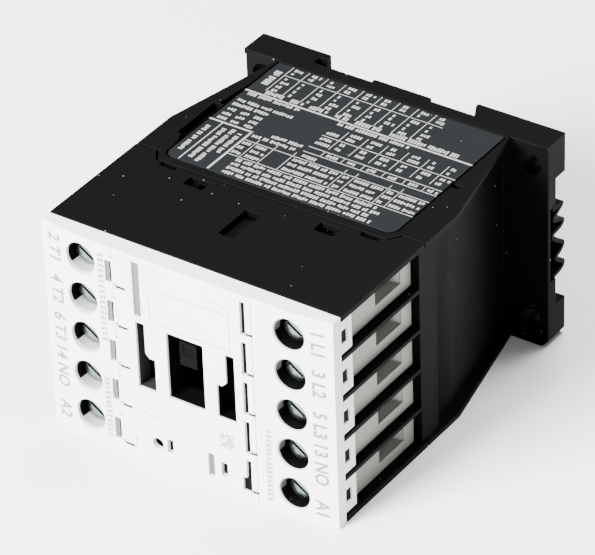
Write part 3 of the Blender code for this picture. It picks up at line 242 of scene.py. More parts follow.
light_grey = moulded_plastic("light grey moulding", (0.79, 0.79, 0.765), 0.46, 0.25, 0.0)
black = moulded_plastic("black moulding", (0.0022, 0.0020, 0.0020), 0.5, 0.5, 0.005, 0.6)
black.node_tree.nodes["Principled BSDF"].inputs["Specular IOR Level"].default_value = 0.03
# Painted shade: a dark grey standing for the light grey cover's walls and floors where they lie in shade.
shadow_grey = moulded_plastic("shaded wall grey", (0.10, 0.10, 0.097), 0.6, 0.2, 0.0)


def face_depth(x):
    """Where the crowned face lies at a distance x from the middle."""
    if abs(x) <= panel_edge:
        return face_y
    if abs(x) <= crown_start:
        return face_y + (abs(x) - panel_edge) / (crown_start - panel_edge) * field_drop
    return face_y + field_drop + (abs(x) - crown_start) / crown_span * crown_drop


def side_fields(work):
    """The fields beside the middle panel stand a little lower."""
    block(work, (-40 * MM, face_y - 1 * MM, -1 * MM), (-17.2 * MM, face_y + 0.15 * MM, 46 * MM))
    block(work, (14.9 * MM, face_y - 1 * MM, -1 * MM), (40 * MM, face_y + 0.22 * MM, 46 * MM))


def screw_opening_bores(work):
    for side in (-1, 1):
        for height in pole_heights:
            turned(work, (side * screw_x, face_y - 1 * MM, height), bore_radius, bore_radius, 6 * MM)


def screw_opening_chamfers(work):
    for side in (-1, 1):
        front = face_depth(screw_x) - 0.3 * MM
        for height in pole_heights:
            turned(work, (side * screw_x, front, height), 3.72 * MM, 3.12 * MM, 0.7 * MM)


def face_block(work, x_span, z_span, depth_span, height=0.0):
    """Draw a block at the face. Spans are in millimetres, and z counts from a height."""
    (x_1, x_2), (z_1, z_2), (depth_1, depth_2) = x_span, z_span, depth_span
    block(work, (x_1 * MM, face_y + depth_1 * MM, height + z_1 * MM),
          (x_2 * MM, face_y + depth_2 * MM, height + z_2 * MM))


def snap_notches(work):
    """Small notches beside the snap slits, one group for each pole."""
    for height in pole_heights:
        face_block(work, (-15.4, -14.5), (2.75, 3.45), (-1, 0.5), height)
        face_block(work, (-15.15, -14.4), (-3.1, -2.4), (-1, 0.5), height)
        face_block(work, (16.0, 16.22), (0.2, 2.6), (-1, 0.35), height)


cover = moulding_from("front_cover", "cover_shell")
carve(cover, side_fields)
carve(cover, screw_opening_bores)
carve(cover, screw_opening_chamfers)
carve(cover, snap_notches)
weld_and_flatten(cover.data)
soften_edges(cover, 0.09 * MM)
cover.data.materials.append(light_grey)
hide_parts("front_cover")
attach(cover, "housing")


# Liners of the cover's openings: thin walls moulded with the housing behind, which show
# inside the screw openings and the window, and the dark floors behind the slits and lugs.
# The dark grey walls and floors among them, and the black strips at the recesses, are painted shade.
def add_piece(name, build, material, body):
    """Build a piece from a drawing function and fasten it to a body."""
    work = bmesh.new()
    build(work)
    mesh = bpy.data.meshes.new(name)
    work.to_mesh(mesh)
    work.free()
    mesh.shade_smooth()
    mesh.set_sharp_from_angle(angle=math.radians(32))
    mesh.materials.append(material)
    piece = bpy.data.objects.new(name, mesh)
    bpy.context.scene.collection.objects.link(piece)
    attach(piece, body)
    return piece


def tube_part(work, centre, outer, inner, length, start, end, segments=24):
    """Draw part of a thin tube, between two angles in degrees, its axis along +Y."""
    rows = []
    for step in range(segments + 1):
        angle = math.radians(start + (end - start) * step / segments)
        row = []
        for radius, back in ((outer, 0), (inner, 0), (inner, length), (outer, length)):
            offset = Vector((radius * math.cos(angle), back, radius * math.sin(angle)))
            row.append(work.verts.new(Vector(centre) + offset))
        rows.append(row)
    for first, second in zip(rows, rows[1:]):
        for corner in range(4):
            after = (corner + 1) % 4
            work.faces.new((first[corner], second[corner], second[after], first[after]))
    work.faces.new(rows[0])
    work.faces.new(list(reversed(rows[-1])))
    bmesh.ops.recalc_face_normals(work, faces=work.faces)


def line_side_liners(work):
    """Black walls: near the rim below, and further back at the upper left."""
    rim = face_depth(screw_x)
    for height in pole_heights:
        tube_part(work, (screw_x, rim + 0.55 * MM, height), liner_radius, 3.06 * MM, 3.0 * MM, 188, 482)
        tube_part(work, (screw_x, rim + 2.1 * MM, height), liner_radius, 3.06 * MM, 1.5 * MM, 112, 190, 8)


def line_side_shades(work):
    """A dark grey strip at the upper left of each opening: painted shade on the cover's own wall there."""
    rim = face_depth(screw_x)
    for height in pole_heights:
        tube_part(work, (screw_x, rim + 0.34 * MM, height), 3.2 * MM, 3.1 * MM, 1.9 * MM, 112, 187, 8)


def load_side_liners(work):
    rim = face_depth(screw_x)
    for height in pole_heights:
        tube_part(work, (-screw_x, rim + 0.9 * MM, height), liner_radius, 3.06 * MM, 2.7 * MM, 218, 495)


def load_side_gaps(work):
    rim = face_depth(screw_x)
    for height in pole_heights:
        tube_part(work, (-screw_x, rim + 1.0 * MM, height), liner_radius, 3.1 * MM, 2.6 * MM, 136, 217, 8)


def lug_backs(work):
    """The dark housing behind the small windows of the latch lugs."""
    for side in (-1, 1):
        for height in pole_heights:
            outer_x, inner_x = side * (cover_high.x - 0.8 * MM), side * (cover_high.x - 1.2 * MM)
            block(work, (min(outer_x, inner_x), cover_high.y - 3.26 * MM, height - 1.36 * MM),
                  (max(outer_x, inner_x), cover_high.y - 1.54 * MM, height + 1.36 * MM))


def inset_outline(outline, inset):
    """Move every side of a closed outline inwards by the same distance."""
    points = [Vector(point) for point in outline]
    area = sum(p.x * q.y - q.x * p.y for p, q in zip(points, points[1:] + points[:1]))
    sign = 1 if area > 0 else -1
    moved = []
    for index, point in enumerate(points):
        coming = (point - points[index - 1]).normalized()
        going = (points[(index + 1) % len(points)] - point).normalized()
        normal_1 = Vector((-coming.y, coming.x)) * sign
        normal_2 = Vector((-going.y, going.x)) * sign
        moved.append(point + (normal_1 + normal_2) * inset / (1 + normal_1.dot(normal_2)))
    return moved


def opening_wall(work, outline, inset, start, end):
    """Draw a thin wall along the inside of an opening's outline."""
    outline = [Vector(point) for point in outline]
    outer = inset_outline(outline, 0.005 * MM)
    inner = inset_outline(outline, inset)
    rings = []
    for path, y in ((outer, start), (inner, start), (inner, end), (outer, end)):
        rings.append([work.verts.new((point.x, y, point.y)) for point in path])
    for first, second in zip(rings, rings[1:] + rings[:1]):
        for step in range(len(outline)):
            after = (step + 1) % len(outline)
            work.faces.new((first[step], second[step], second[after], first[after]))
    bmesh.ops.recalc_face_normals(work, faces=work.faces)


def key_outline(side):
    """Outline of a key slot: narrow above, wide below, with a sloping shoulder."""
    half = [
        (10.8, -6.2), (10.8, 8.1), (8.9, 8.1), (8.9, 1.8), (8.0, 0.9), (6.85, 0.9), (6.85, -6.2),
    ]
    return [(side * x * MM, middle_z + z * MM) for x, z in half]


def dark_liners(work):
    low_z, high_z = middle_z - 6.2 * MM, middle_z + 8.1 * MM
    window = [(4 * MM, low_z), (4 * MM, high_z), (-4 * MM, high_z), (-4 * MM, low_z)]
    opening_wall(work, window, 0.12 * MM, face_y + 0.55 * MM, face_y + 3.7 * MM)
    opening_wall(work, key_outline(1), 0.1 * MM, face_y + 0.4 * MM, face_y + 3.7 * MM)


def slit_floors(work):
    """The dark housing seen through the snap slits, the pocket and the small slots, and black strips beside
    the load-side recesses that are painted shade.
    """
    for height in pole_heights:
        face_block(work, (12.57, 13.58), (-3.38, 3.63), (0.62, 0.95), height)
        face_block(work, (13.62, 14.98), (-3.28, -2.81), (0.16, 0.95), height)
        face_block(work, (-14.68, -12.62), (-3.28, -2.81), (0.16, 0.95), height)
        # Painted shade: a black strip along the right wall of each load-side recess.
        face_block(work, (-15.95, -15.52), (-1.9, 1.98), (0.2, 0.59), height)
    face_block(work, (11.72, 12.98), (1.77, 4.68), (0.5, 0.93))
    face_block(work, (-9.75, -9.42), (32.02, 32.8), (0.3, 0.59))
    face_block(work, (5.0, 5.38), (2.02, 7.08), (0.5, 0.95))
    face_block(work, (7.55, 8.28), (3.6, 6.08), (0.4, 0.95))


def shaded_floors(work):
    """Grey floors laid across the blind slots: painted shade of their walls."""
    face_block(work, (-10.94, -9.76), (32.02, 43.6), (0.35, 0.59))
    for height in pole_heights:
        face_block(work, (-16.93, -15.96), (-2.63, 1.98), (0.4, 0.59), height)
    face_block(work, (4.02, 4.98), (2.02, 7.08), (0.7, 0.95))


# Painted shade: a near-black wall inside the load-side key slot, where the cover's pale wall lies in shade.
def shaded_key_slot_liners(work):
    opening_wall(work, key_outline(-1), 0.1 * MM, face_y + 0.5 * MM, face_y + 3.6 * MM)


add_piece("screw_liners_line", line_side_liners, black, "housing")
add_piece("screw_shades_line", line_side_shades, shadow_grey, "housing")
liner_grey = moulded_plastic("grey liner", (0.45, 0.45, 0.42), 0.5, 0.2, 0.0)
add_piece("screw_liners_load", load_side_liners, liner_grey, "housing")
add_piece("screw_liner_gaps", load_side_gaps, black, "housing")
add_piece("lug_backs", lug_backs, black, "housing")
add_piece("dark_liners", dark_liners, black, "housing")
add_piece("slit_floors", slit_floors, black, "housing")
add_piece("shaded_floors", shaded_floors, shadow_grey, "housing")
key_grey = moulded_plastic("shaded key slot grey", (0.013, 0.0125, 0.012), 0.6, 0.2, 0.0)
add_piece("shaded_key_slot_liners", shaded_key_slot_liners, key_grey, "housing")


# Scribed lines on the cover: the field for a marking tag, two corner brackets, the joints
# beside the load-side slits, and a faint printed code. All are a shade darker than the face.
# Painted shade: the scribed lines are flat strips, and their darker grey stands for the shade in engraved
# grooves.
line_grey = moulded_plastic("scribed line grey", (0.13, 0.127, 0.12), 0.5, 0.1, 0.0)


def scribe(work, points, width=0.13, lift=0.006):
    """Draw fine lines between points of the flat face, in millimetres."""
    for (x_1, z_1), (x_2, z_2) in zip(points, points[1:]):
        along = Vector((x_2 - x_1, z_2 - z_1)).normalized() * width / 2
        across = Vector((-along.y, along.x))
        start, end = Vector((x_1, z_1)) - along, Vector((x_2, z_2)) + along
        corners = (start - across, end - across, end + across, start + across)
        work.faces.new([
            work.verts.new((corner.x * MM, face_y + print_room - lift * MM, corner.y * MM))
            for corner in corners
        ])


def scribed_lines(work):
    scribe(work, [(-7.4, 37.2), (-7.4, 31.7), (10.1, 31.7), (10.1, 39.2), (-5.0, 39.2)])
    scribe(work, [(5.8, 42.6), (5.9, 41.2), (10.5, 40.9), (10.5, 39.8)], 0.12)
    scribe(work, [(-10.3, 12.2), (-10.2, 10.8), (-6.0, 10.4), (-5.9, 9.9)], 0.12)
    scribe(work, [(-12.1, 4.3), (-12.1, 2.0)], 0.2)


def panel_joint(work):
    """Dark line where the load-side field meets the middle panel, between the slits."""
    for height in pole_heights:
        top = min(height / MM + 5.5, 44.6)
        scribe(work, [(-15.3, height / MM + 3.7), (-15.3, top)], 0.1)


def small_print(work):
    """A faint square code and rows of blocks, with no words."""
    dots = random.Random(11)
    for row in range(9):
        for column in range(9):
            if dots.random() < 0.55:
                x, z = 6.9 + column * 0.36, 9.9 + row * 0.36
                scribe(work, [(x, z), (x + 0.14, z)], 0.3)
    for x, low, high, step in ((-17.9, 24.4, 42.8, 1.15), (-18.1, 2.4, 15.4, 1.05), (17.6, 1.2, 17.2, 1.0)):
        z = high
        while z > low:
            length = dots.uniform(0.35, 0.6) * step
            scribe(work, [(x - 0.42, z), (x - 0.42, z - length)], 0.2)
            scribe(work, [(x + 0.42, z), (x + 0.42, z - length * dots.uniform(0.5, 1))], 0.2)
            scribe(work, [(x, z), (x, z - length * 0.45)], 0.24)
            z -= step


add_piece("scribed_lines", scribed_lines, line_grey, "housing")
add_piece("panel_joint", panel_joint, line_grey, "housing")
faint_ink = moulded_plastic("faint grey ink", (0.24, 0.24, 0.23), 0.5, 0.1, 0.0)
add_piece("small_print", small_print, faint_ink, "housing")


# Terminal marks: pad-printed grey characters beside the screws, as the standard for
# contactors names the terminals. They read downwards.
print_grey = moulded_plastic("grey marking ink", (0.17, 0.17, 0.165), 0.5, 0.1, 0.0)
line_marks = ("1 L1", "3 L2", "5 L3", "13 NO", "A1")
load_marks = ("2 T1", "4 T2", "6 T3", "14 NO", "A2")


def printed_mark(text, x, z, name):
    """Print one terminal's mark on the sloping side field of the cover."""
    words = bpy.data.curves.new(name, "FONT")
    words.body = text
    words.size = 3.75 * MM
    words.align_x = "CENTER"
    words.align_y = "CENTER"
    words.extrude = 0.012 * MM
    words.offset = 0.1 * MM
    words.space_character = 1.06
    holder = bpy.data.objects.new(name + "_words", words)
    bpy.context.scene.collection.objects.link(holder)
    graph = bpy.context.evaluated_depsgraph_get()
    mesh = bpy.data.meshes.new_from_object(holder.evaluated_get(graph))
    bpy.data.objects.remove(holder)
    slope = math.copysign(1.0 / 8.7, x)
    reading = Vector((0, 0, -1))
    upward = Vector((1, slope, 0)).normalized()
    outward = reading.cross(upward)
    spot = Vector((x, face_depth(x) - 0.004 * MM, z))
    turn = Matrix((reading * 0.84, upward, outward)).transposed().to_4x4()
    mesh.transform(Matrix.Translation(spot) @ turn)
    mesh.materials.clear()
    mesh.materials.append(print_grey)
    mark = bpy.data.objects.new(name, mesh)
    bpy.context.scene.collection.objects.link(mark)
    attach(mark, "housing")


for text, height, drop in zip(line_marks, pole_heights, (0.3, 0.1, 0.4, 0.2, 1.7)):
    printed_mark(text, 28.4 * MM, height - drop * MM, "mark_" + text.replace(" ", "_"))
for text, height, drop in zip(load_marks, pole_heights, (0.0, 0.4, 0.1, 0.1, 1.2)):
    printed_mark(text, -28.9 * MM, height - drop * MM, "mark_" + text.replace(" ", "_"))


# Contact housing: the black front half, moulded in glass-filled polyamide. It holds the
# fixed contacts, and its thin partitions keep the terminals apart.
housing = moulding_from("contact_housing", "contact_housing_shell")
soften_edges(housing, 0.10 * MM)
housing.data.materials.append(black)
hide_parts("contact_housing")
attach(housing, "housing")


# Base housing: the black rear half with the fixing ears, the rail channel and the seat of
# the rating label. It is the same glass-filled polyamide as the contact housing.
base = moulding_from("base_housing", "base_housing_shell")
soften_edges(base, 0.16 * MM)
base_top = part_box("base_housing")[1].z
for vertex in base.data.vertices:
    vertex.co.z = min(vertex.co.z, base_top)
base.data.materials.append(black)
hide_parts("base_housing")
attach(base, "housing")


# Rating label: a thin dark film, glued into a shallow seat, with pale printed tables. The
# print is only rules and rows of small blocks, with no words.
label_low, label_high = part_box("rating_label")
label_film = moulded_plastic("dark label film", (0.0058, 0.0070, 0.0080), 0.45, 0.12, 0.0, 0.4)
label_film.node_tree.nodes["Principled BSDF"].inputs["Specular IOR Level"].default_value = 0.1
label_ink = moulded_plastic("pale label ink", (0.27, 0.27, 0.26), 0.5, 0.1, 0.0)
label = moulding_from("rating_label", "label_film")
soften_edges(label, 0.05 * MM)
label.data.materials.append(label_film)
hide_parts("rating_label")
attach(label, "housing")
ink_z = label_high.z + 0.008 * MM
label_left = label_low.x
label_front = label_low.y
printer = random.Random(7)


def ink(work, x_1, x_2, y_1, y_2):
    """Print one solid rectangle, in millimetres from the label's front left corner."""
    corners = ((x_1, y_1), (x_2, y_1), (x_2, y_2), (x_1, y_2))
    points = [
        work.verts.new((label_left + x * MM, label_front + y * MM, ink_z)) for x, y in corners
    ]
    work.faces.new(points)


def ink_row(work, x_start, x_end, y, height=0.95, across=True):
    """Print a row of small blocks in groups, as long as a line of small print."""
    spot = x_start
    while spot < x_end:
        for _ in range(printer.randint(2, 7)):
            width = printer.uniform(0.38, 0.56)
            if spot + width > x_end:
                return
            low = y + printer.choice((0, 0, 0, 0.18)) * height
            high = y + height * printer.choice((1, 1, 0.82))
            if across:
                ink(work, spot, spot + width, low, high)
            else:
                ink(work, low, high, spot, spot + width)
            spot += width + 0.17
        spot += 0.42


def ink_grid(work, columns, low, high, thickness=0.16):
    for column in columns:
        ink(work, column - thickness / 2, column + thickness / 2, low, high)


def label_rules(work):
    ink(work, 0.0, 50.4, 26.1, 26.55)
    ink(work, 0.0, 9.8, 14.4, 14.85)
    ink(work, 9.35, 9.8, 0.3, 14.6)
    ink_grid(work, (3.1,), 0.3, 14.4, 0.25)
    for low in (16.05, 14.2):
        ink(work, 21.3, 50.4, low, low + 0.2)
    for low in (11.75, 6.3):
        ink(work, 9.8, 50.4, low, low + 0.2)
    ink(work, 3.5, 39.0, 34.1, 34.28)
    ink(work, 21.3, 50.4, 20.45, 20.65)
    ink_grid(work, (3.5, 7.2, 11.4, 15.4, 19.5, 23.6, 27.6, 31.7, 35.7), 27.9, 37.4)
    ink_grid(work, (25.0, 29.4, 33.8, 38.3, 42.8, 47.1), 17.1, 23.9)
    ink_grid(work, (25.0, 29.4, 33.8, 38.3, 42.8, 47.1), 14.3, 16.1)
    ink_grid(work, (12.4, 16.4, 20.6, 31.8, 34.3, 41.6, 44.1), 6.4, 13.2)


def label_print(work):
    for low in (0.55, 2.05, 3.5, 5.0):
        ink_row(work, 12.4, 45.0 if low in (0.55, 3.5) else 43.4, low)
    for low in (7.0, 8.8, 10.5):
        ink_row(work, 21.3, 31.2, low)
        ink_row(work, 32.3, 34.0, low, 0.9)
        ink_row(work, 34.9, 41.2, low, 0.9)
        ink_row(work, 42.0, 43.8, low, 0.9)
        ink_row(work, 44.6, 50.2, low, 0.9)
        ink_row(work, 10.1, 12.1, low, 0.9)
        ink_row(work, 13.0, 16.0, low, 0.9)
    ink_row(work, 22.0, 25.4, 12.4)
    ink_row(work, 10.3, 20.0, 13.3)
    ink_row(work, 13.6, 20.8, 14.9)
    for column in (25.9, 30.4, 34.8, 39.4, 43.8, 47.9):
        for low in (14.75, 17.5, 19.1, 21.3, 22.8):
            ink_row(work, column, column + printer.choice((1.2, 1.8, 2.4)), low, 0.9)
    for low in (17.5, 19.1, 21.3):
        ink_row(work, 21.6, 24.6, low, 0.9)
    ink_row(work, 21.6, 37.8, 24.9)
    ink_row(work, 1.2, 13.4, 25.0)
    ink_row(work, 0.8, 13.6, 22.2)
    ink_row(work, 0.8, 9.4, 20.6)
    for low in (15.4, 17.0, 18.7):
        for column in (1.0, 4.0, 7.0):
            ink_row(work, column, column + 2.2, low, 0.9)
    for column in (4.3, 8.2, 12.4, 16.4, 20.5, 24.6, 28.7, 32.7, 36.8):
        for low in (28.3, 29.8, 31.3, 32.7, 34.9, 36.2):
            ink_row(work, column, column + printer.choice((0.9, 1.4, 2.2)), low, 0.9)
    for start, end in ((3.9, 8.8), (9.6, 12.6), (13.9, 18.4), (19.6, 23.0), (24.2, 30.0), (31.8, 46.8)):
        ink_row(work, start, end, 26.85, 1.25)
    for column, start, end in ((0.9, 3.0, 12.6), (4.1, 1.8, 13.2), (5.9, 1.2, 13.6), (7.6, 5.6, 13.4)):
        ink_row(work, start, end, column, 0.95, across=False)
    ink_row(work, 29.6, 35.8, 1.2, 1.5, across=False)


add_piece("label_rules", label_rules, label_ink, "housing")
add_piece("label_print", label_print, label_ink, "housing")


# Wire guides: light grey inserts with a satin finish in the terminal chambers, given a darker
# grey than their plastic as painted shade of the chambers. Each has a funnel in its outer
# wall that leads the wire under the clamp, and slides in from the rear.
# Painted shade: this grey is darker than the inserts' own light grey plastic.
insert_grey_painted_shade = moulded_plastic("satin grey insert", (0.21, 0.205, 0.185), 0.42, 0.2, 0.08)
terminals = []
for pole, pair in enumerate((("l1", "t1"), ("l2", "t2"), ("l3", "t3"), ("13", "14"), ("a1", "a2"))):
    terminals.append((pair[0], 1, pole_heights[pole]))
    terminals.append((pair[1], -1, pole_heights[pole]))


def funnel(side, wall_x, height, start_y):
    """Draw the sloping walls inside a guide's wire opening."""
    def build(work):
        steps = (
            (0.25, 0.0, 8.1, -1.3, 2.4),
            (1.2, 0.9, 7.4, -0.9, 2.0),
            (2.9, 1.6, 6.6, -0.6, 1.6),
        )
        rings = []
        for depth, start, end, low, high in steps:
            x = side * (wall_x - depth * MM)
            ring = [
                (x, start_y + start * MM, height + low * MM),
                (x, start_y + end * MM, height + low * MM),
                (x, start_y + end * MM, height + high * MM),
                (x, start_y + start * MM, height + high * MM),
            ]
            rings.append([work.verts.new(point) for point in ring])
        for first, second in zip(rings, rings[1:]):
            for step in range(4):
                after = (step + 1) % 4
                work.faces.new((first[step], first[after], second[after], second[step]))
        bmesh.ops.recalc_face_normals(work, faces=work.faces)
    return build


for mark, side, height in terminals:
    guide_low, guide_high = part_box("wire_guide_" + mark)
    guide = moulding_from("wire_guide_" + mark, "wire_guide_shell_" + mark)
    soften_edges(guide, 0.12 * MM)
    guide.data.materials.append(insert_grey_painted_shade)
    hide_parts("wire_guide_" + mark)
    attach(guide, "housing")
    outer_x = max(abs(guide_low.x), abs(guide_high.x))
    walls = funnel(side, outer_x, height, -20.1 * MM)
    add_piece("wire_funnel_" + mark, walls, insert_grey_painted_shade, "housing")


# Terminal screws: M3.5 steel, zinc-plated, with a round head and a combined cross and
# straight recess. Each turns in its clamp plate and draws it back onto the wire.
def turned_metal(name, colour, roughness, rings=1400, metallic=1.0):
    """Plated or ground metal with turning marks and a mottled sheen."""
    material = bpy.data.materials.new(name)
    material.use_nodes = True
    tree = material.node_tree
    shader = tree.nodes["Principled BSDF"]
    shader.inputs["Metallic"].default_value = metallic
    place = tree.nodes.new("ShaderNodeTexCoord")
    mottle = tree.nodes.new("ShaderNodeTexNoise")
    mottle.inputs["Scale"].default_value = 420
    mottle.inputs["Detail"].default_value = 5
    tree.links.new(place.outputs["Object"], mottle.inputs["Vector"])
    tint = tree.nodes.new("ShaderNodeMix")
    tint.data_type = "RGBA"
    tint.inputs["A"].default_value = (*[value * 0.78 for value in colour], 1)
    tint.inputs["B"].default_value = (*[min(value * 1.12, 1) for value in colour], 1)
    tree.links.new(mottle.outputs["Fac"], tint.inputs["Factor"])
    tree.links.new(tint.outputs["Result"], shader.inputs["Base Color"])
    polish = tree.nodes.new("ShaderNodeMapRange")
    polish.inputs["To Min"].default_value = roughness - 0.1
    polish.inputs["To Max"].default_value = roughness + 0.12
    tree.links.new(mottle.outputs["Fac"], polish.inputs["Value"])
    tree.links.new(polish.outputs["Result"], shader.inputs["Roughness"])
    marks = tree.nodes.new("ShaderNodeTexWave")
    marks.wave_type = "RINGS"
    marks.rings_direction = "Y"
    marks.inputs["Scale"].default_value = rings
    marks.inputs["Distortion"].default_value = 1.5
    tree.links.new(place.outputs["Object"], marks.inputs["Vector"])
    relief = tree.nodes.new("ShaderNodeBump")
    relief.inputs["Strength"].default_value = 0.15
    relief.inputs["Distance"].default_value = 0.01 * MM
    tree.links.new(marks.outputs["Fac"], relief.inputs["Height"])
    tree.links.new(relief.outputs["Normal"], shader.inputs["Normal"])
    return material


# Painted shade: the screws' plating colour is set far darker than real zinc, so the heads look mid grey
# while they mirror the pale table.
zinc = turned_metal("zinc plating", (0.24, 0.29, 0.29), 0.26)
screw_low, screw_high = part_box("terminal_screw_l1")
screw_length = screw_high.y - screw_low.y


def screw_profile(work):
    """Spin a screw's half section: domed head, neck and threaded shank."""
    section = [
        (0.0, 0.0), (1.5, 0.0), (2.15, 0.12), (2.55, 0.38), (2.74, 0.75), (2.79, 1.1),
        (2.79, 1.95), (2.7, 2.15), (1.7, 2.2), (1.55, 2.4),
    ]
    back = 2.4
    while back < screw_length / MM - 1.2:
        section += [(1.69, back + 0.15), (1.69, back + 0.25), (1.42, back + 0.45), (1.42, back + 0.5)]
        back += 0.6
    section += [(1.35, screw_length / MM - 0.35), (1.0, screw_length / MM), (0.0, screw_length / MM)]
    points = [work.verts.new((radius * MM, depth * MM, 0)) for radius, depth in section]
    edges = [work.edges.new(pair) for pair in zip(points, points[1:])]
    bmesh.ops.spin(
        work, geom=points + edges, cent=(0, 0, 0), axis=(0, 1, 0), angle=2 * math.pi,
        steps=40, use_merge=True,
    )
    bmesh.ops.remove_doubles(work, verts=work.verts, dist=1e-6)
    bmesh.ops.recalc_face_normals(work, faces=work.faces)


def recess_bar(angle, length):
    """One tapered bar of the cross recess."""
    def build(work):
        turn = Matrix.Rotation(angle, 4, "Y")
        for corner in bmesh.ops.create_cube(work, size=2)["verts"]:
            taper = 1.0 if corner.co.y < 0 else 0.55
            corner.co = turn @ Vector(
                (corner.co.x * length * taper * MM, corner.co.y * 1.1 * MM, corner.co.z * 0.42 * taper * MM)
            )
    return build


screw_pattern = None
for mark, side, height in terminals:
    low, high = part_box("terminal_screw_" + mark)
    if screw_pattern is None:
        work = bmesh.new()
        screw_profile(work)
        mesh = bpy.data.meshes.new("terminal_screw_shape")
        work.to_mesh(mesh)
        work.free()
        screw = bpy.data.objects.new("screw_" + mark, mesh)
        bpy.context.scene.collection.objects.link(screw)
        carve(screw, recess_bar(0.6, 2.35))
        carve(screw, recess_bar(0.6 + math.pi / 2, 1.65))
        screw.data.shade_smooth()
        screw.data.set_sharp_from_angle(angle=math.radians(40))
        screw.data.materials.clear()
        screw.data.materials.append(zinc)
        screw_pattern = screw.data
    else:
        screw = bpy.data.objects.new("screw_" + mark, screw_pattern)
        bpy.context.scene.collection.objects.link(screw)
    screw.location = ((low.x + high.x) / 2, low.y, (low.z + high.z) / 2)
    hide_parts("terminal_screw_" + mark)
    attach(screw, "screw_" + mark)


# Metal inner parts: zinc-plated clamp plates, stamped brass strips, copper-alloy bridges
# and steel springs, all stamped or wound and laid into the housings before they close.
stamped_zinc = turned_metal("stamped zinc", (0.62, 0.64, 0.64), 0.38, 900)
stamped_brass = turned_metal("stamped brass", (0.72, 0.53, 0.27), 0.34, 900)
silvered_copper = turned_metal("silvered copper", (0.76, 0.70, 0.64), 0.32, 900)
spring_steel = turned_metal("spring steel", (0.50, 0.50, 0.51), 0.30, 2600)
for node, piece in nodes.items():
    for start, material in (
        ("clamp_plate", stamped_zinc), ("fixed_contact", stamped_brass),
        ("coil_terminal", stamped_brass), ("contact_bridge", silvered_copper),
    ):
        if node.startswith(start):
            piece.material_slots[0].material = material


def pressed_spring(node, body):
    """A coil spring in spring steel, fastened to a body with a mesh of its own."""
    spring = moulding_from(node, node + "_coil")
    spring.data.materials.append(spring_steel)
    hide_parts(node)
    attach(spring, body)
    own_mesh(spring)


for number in range(1, 5):
    pressed_spring(f"contact_spring_{number}", "carrier")
pressed_spring("return_spring", "housing")


# Contact carrier: the black slider that holds the bridges. The tab on its front shows in
# the cover's window and moves back when the contactor pulls in.
carrier = moulding_from("contact_carrier", "carrier_slider")


def tab_relief(work):
    """A shallow step across the tab's front."""
    tab_z = middle_z + 4.0 * MM
    block(work, (-1.3 * MM, face_y, tab_z - 0.2 * MM), (1.3 * MM, face_y + 1.25 * MM, tab_z + 1.9 * MM))


carve(carrier, tab_relief)
soften_edges(carrier, 0.15 * MM)
tab_black = moulded_plastic("matt black slider", (0.0012, 0.0012, 0.0012), 0.6, 0.4, 0.0)
tab_black.node_tree.nodes["Principled BSDF"].inputs["Specular IOR Level"].default_value = 0.03
carrier.data.materials.append(tab_black)
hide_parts("contact_carrier")
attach(carrier, "carrier")


# Magnet and coil: ground lamination stacks, a brown bobbin, the copper winding and a soft
# damper under the core. They fill the base and can't be seen from outside.
ground_steel = turned_metal("ground laminations", (0.46, 0.46, 0.47), 0.36, 2200)
enamelled_copper = turned_metal("enamelled copper", (0.62, 0.27, 0.13), 0.34, 3000)
bobbin_brown = moulded_plastic("brown bobbin plastic", (0.15, 0.10, 0.07), 0.46, 0.3, 0.05)
soft_rubber = moulded_plastic("soft black rubber", (0.028, 0.028, 0.028), 0.8, 0.6, 0.02)
for node, material in (
    ("armature", ground_steel), ("magnet_core", ground_steel), ("coil_winding", enamelled_copper),
    ("coil_bobbin", bobbin_brown), ("core_damper", soft_rubber),
):
    nodes[node].material_slots[0].material = material


# Rail spring: a springy black moulding behind the ear. Its folded band presses the rail
# against the fixed lip, and its outer end can be pulled with a screwdriver.
spring_low, spring_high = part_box("rail_spring")


def band(work, path, thickness, x_low, x_high):
    """Draw a folded band of even thickness along a path in the Y-Z plane."""
    sides = []
    for index, (y, z) in enumerate(path):
        before = Vector(path[max(index - 1, 0)])
        after = Vector(path[min(index + 1, len(path) - 1)])
        along = (after - before).normalized()
        across = Vector((-along.y, along.x)) * thickness / 2
        sides.append((Vector((y, z)) + across, Vector((y, z)) - across))
    rings = []
    for upper, lower in sides:
        rings.append([
            work.verts.new((x, point.x, point.y))
            for x, point in ((x_low, upper), (x_high, upper), (x_high, lower), (x_low, lower))
        ])
    for first, second in zip(rings, rings[1:]):
        for step in range(4):
            after = (step + 1) % 4
            work.faces.new((first[step], first[after], second[after], second[step]))
    work.faces.new(rings[0])
    work.faces.new(rings[-1][::-1])
    bmesh.ops.recalc_face_normals(work, faces=work.faces)


def smooth_path(points, steps=6):
    """Run a smooth line through the points."""
    line = []
    padded = [points[0]] + list(points) + [points[-1]]
    for index in range(1, len(padded) - 2):
        p_0, p_1, p_2, p_3 = [Vector(padded[index + shift]) for shift in (-1, 0, 1, 2)]
        for step in range(steps):
            t = step / steps
            spot = 0.5 * (
                2 * p_1 + (p_2 - p_0) * t + (2 * p_0 - 5 * p_1 + 4 * p_2 - p_3) * t * t
                + (3 * p_1 - p_0 - 3 * p_2 + p_3) * t ** 3
            )
            line.append(tuple(spot))
    line.append(tuple(points[-1]))
    return line


def folded_band(work):
    folds = [
        (33.2, 30.1), (36.6, 29.9), (34.4, 28.6), (33.6, 27.6), (36.7, 26.2), (36.2, 25.1),
        (33.2, 24.6), (34.2, 22.9), (36.8, 21.0), (36.4, 19.9), (34.4, 18.9), (35.2, 17.8),
        (37.0, 16.6), (36.4, 15.5), (33.4, 15.0),
    ]
    path = smooth_path([(y * MM, z * MM) for y, z in folds])
    band(work, path, 0.8 * MM, spring_high.x - 2.6 * MM, spring_high.x)


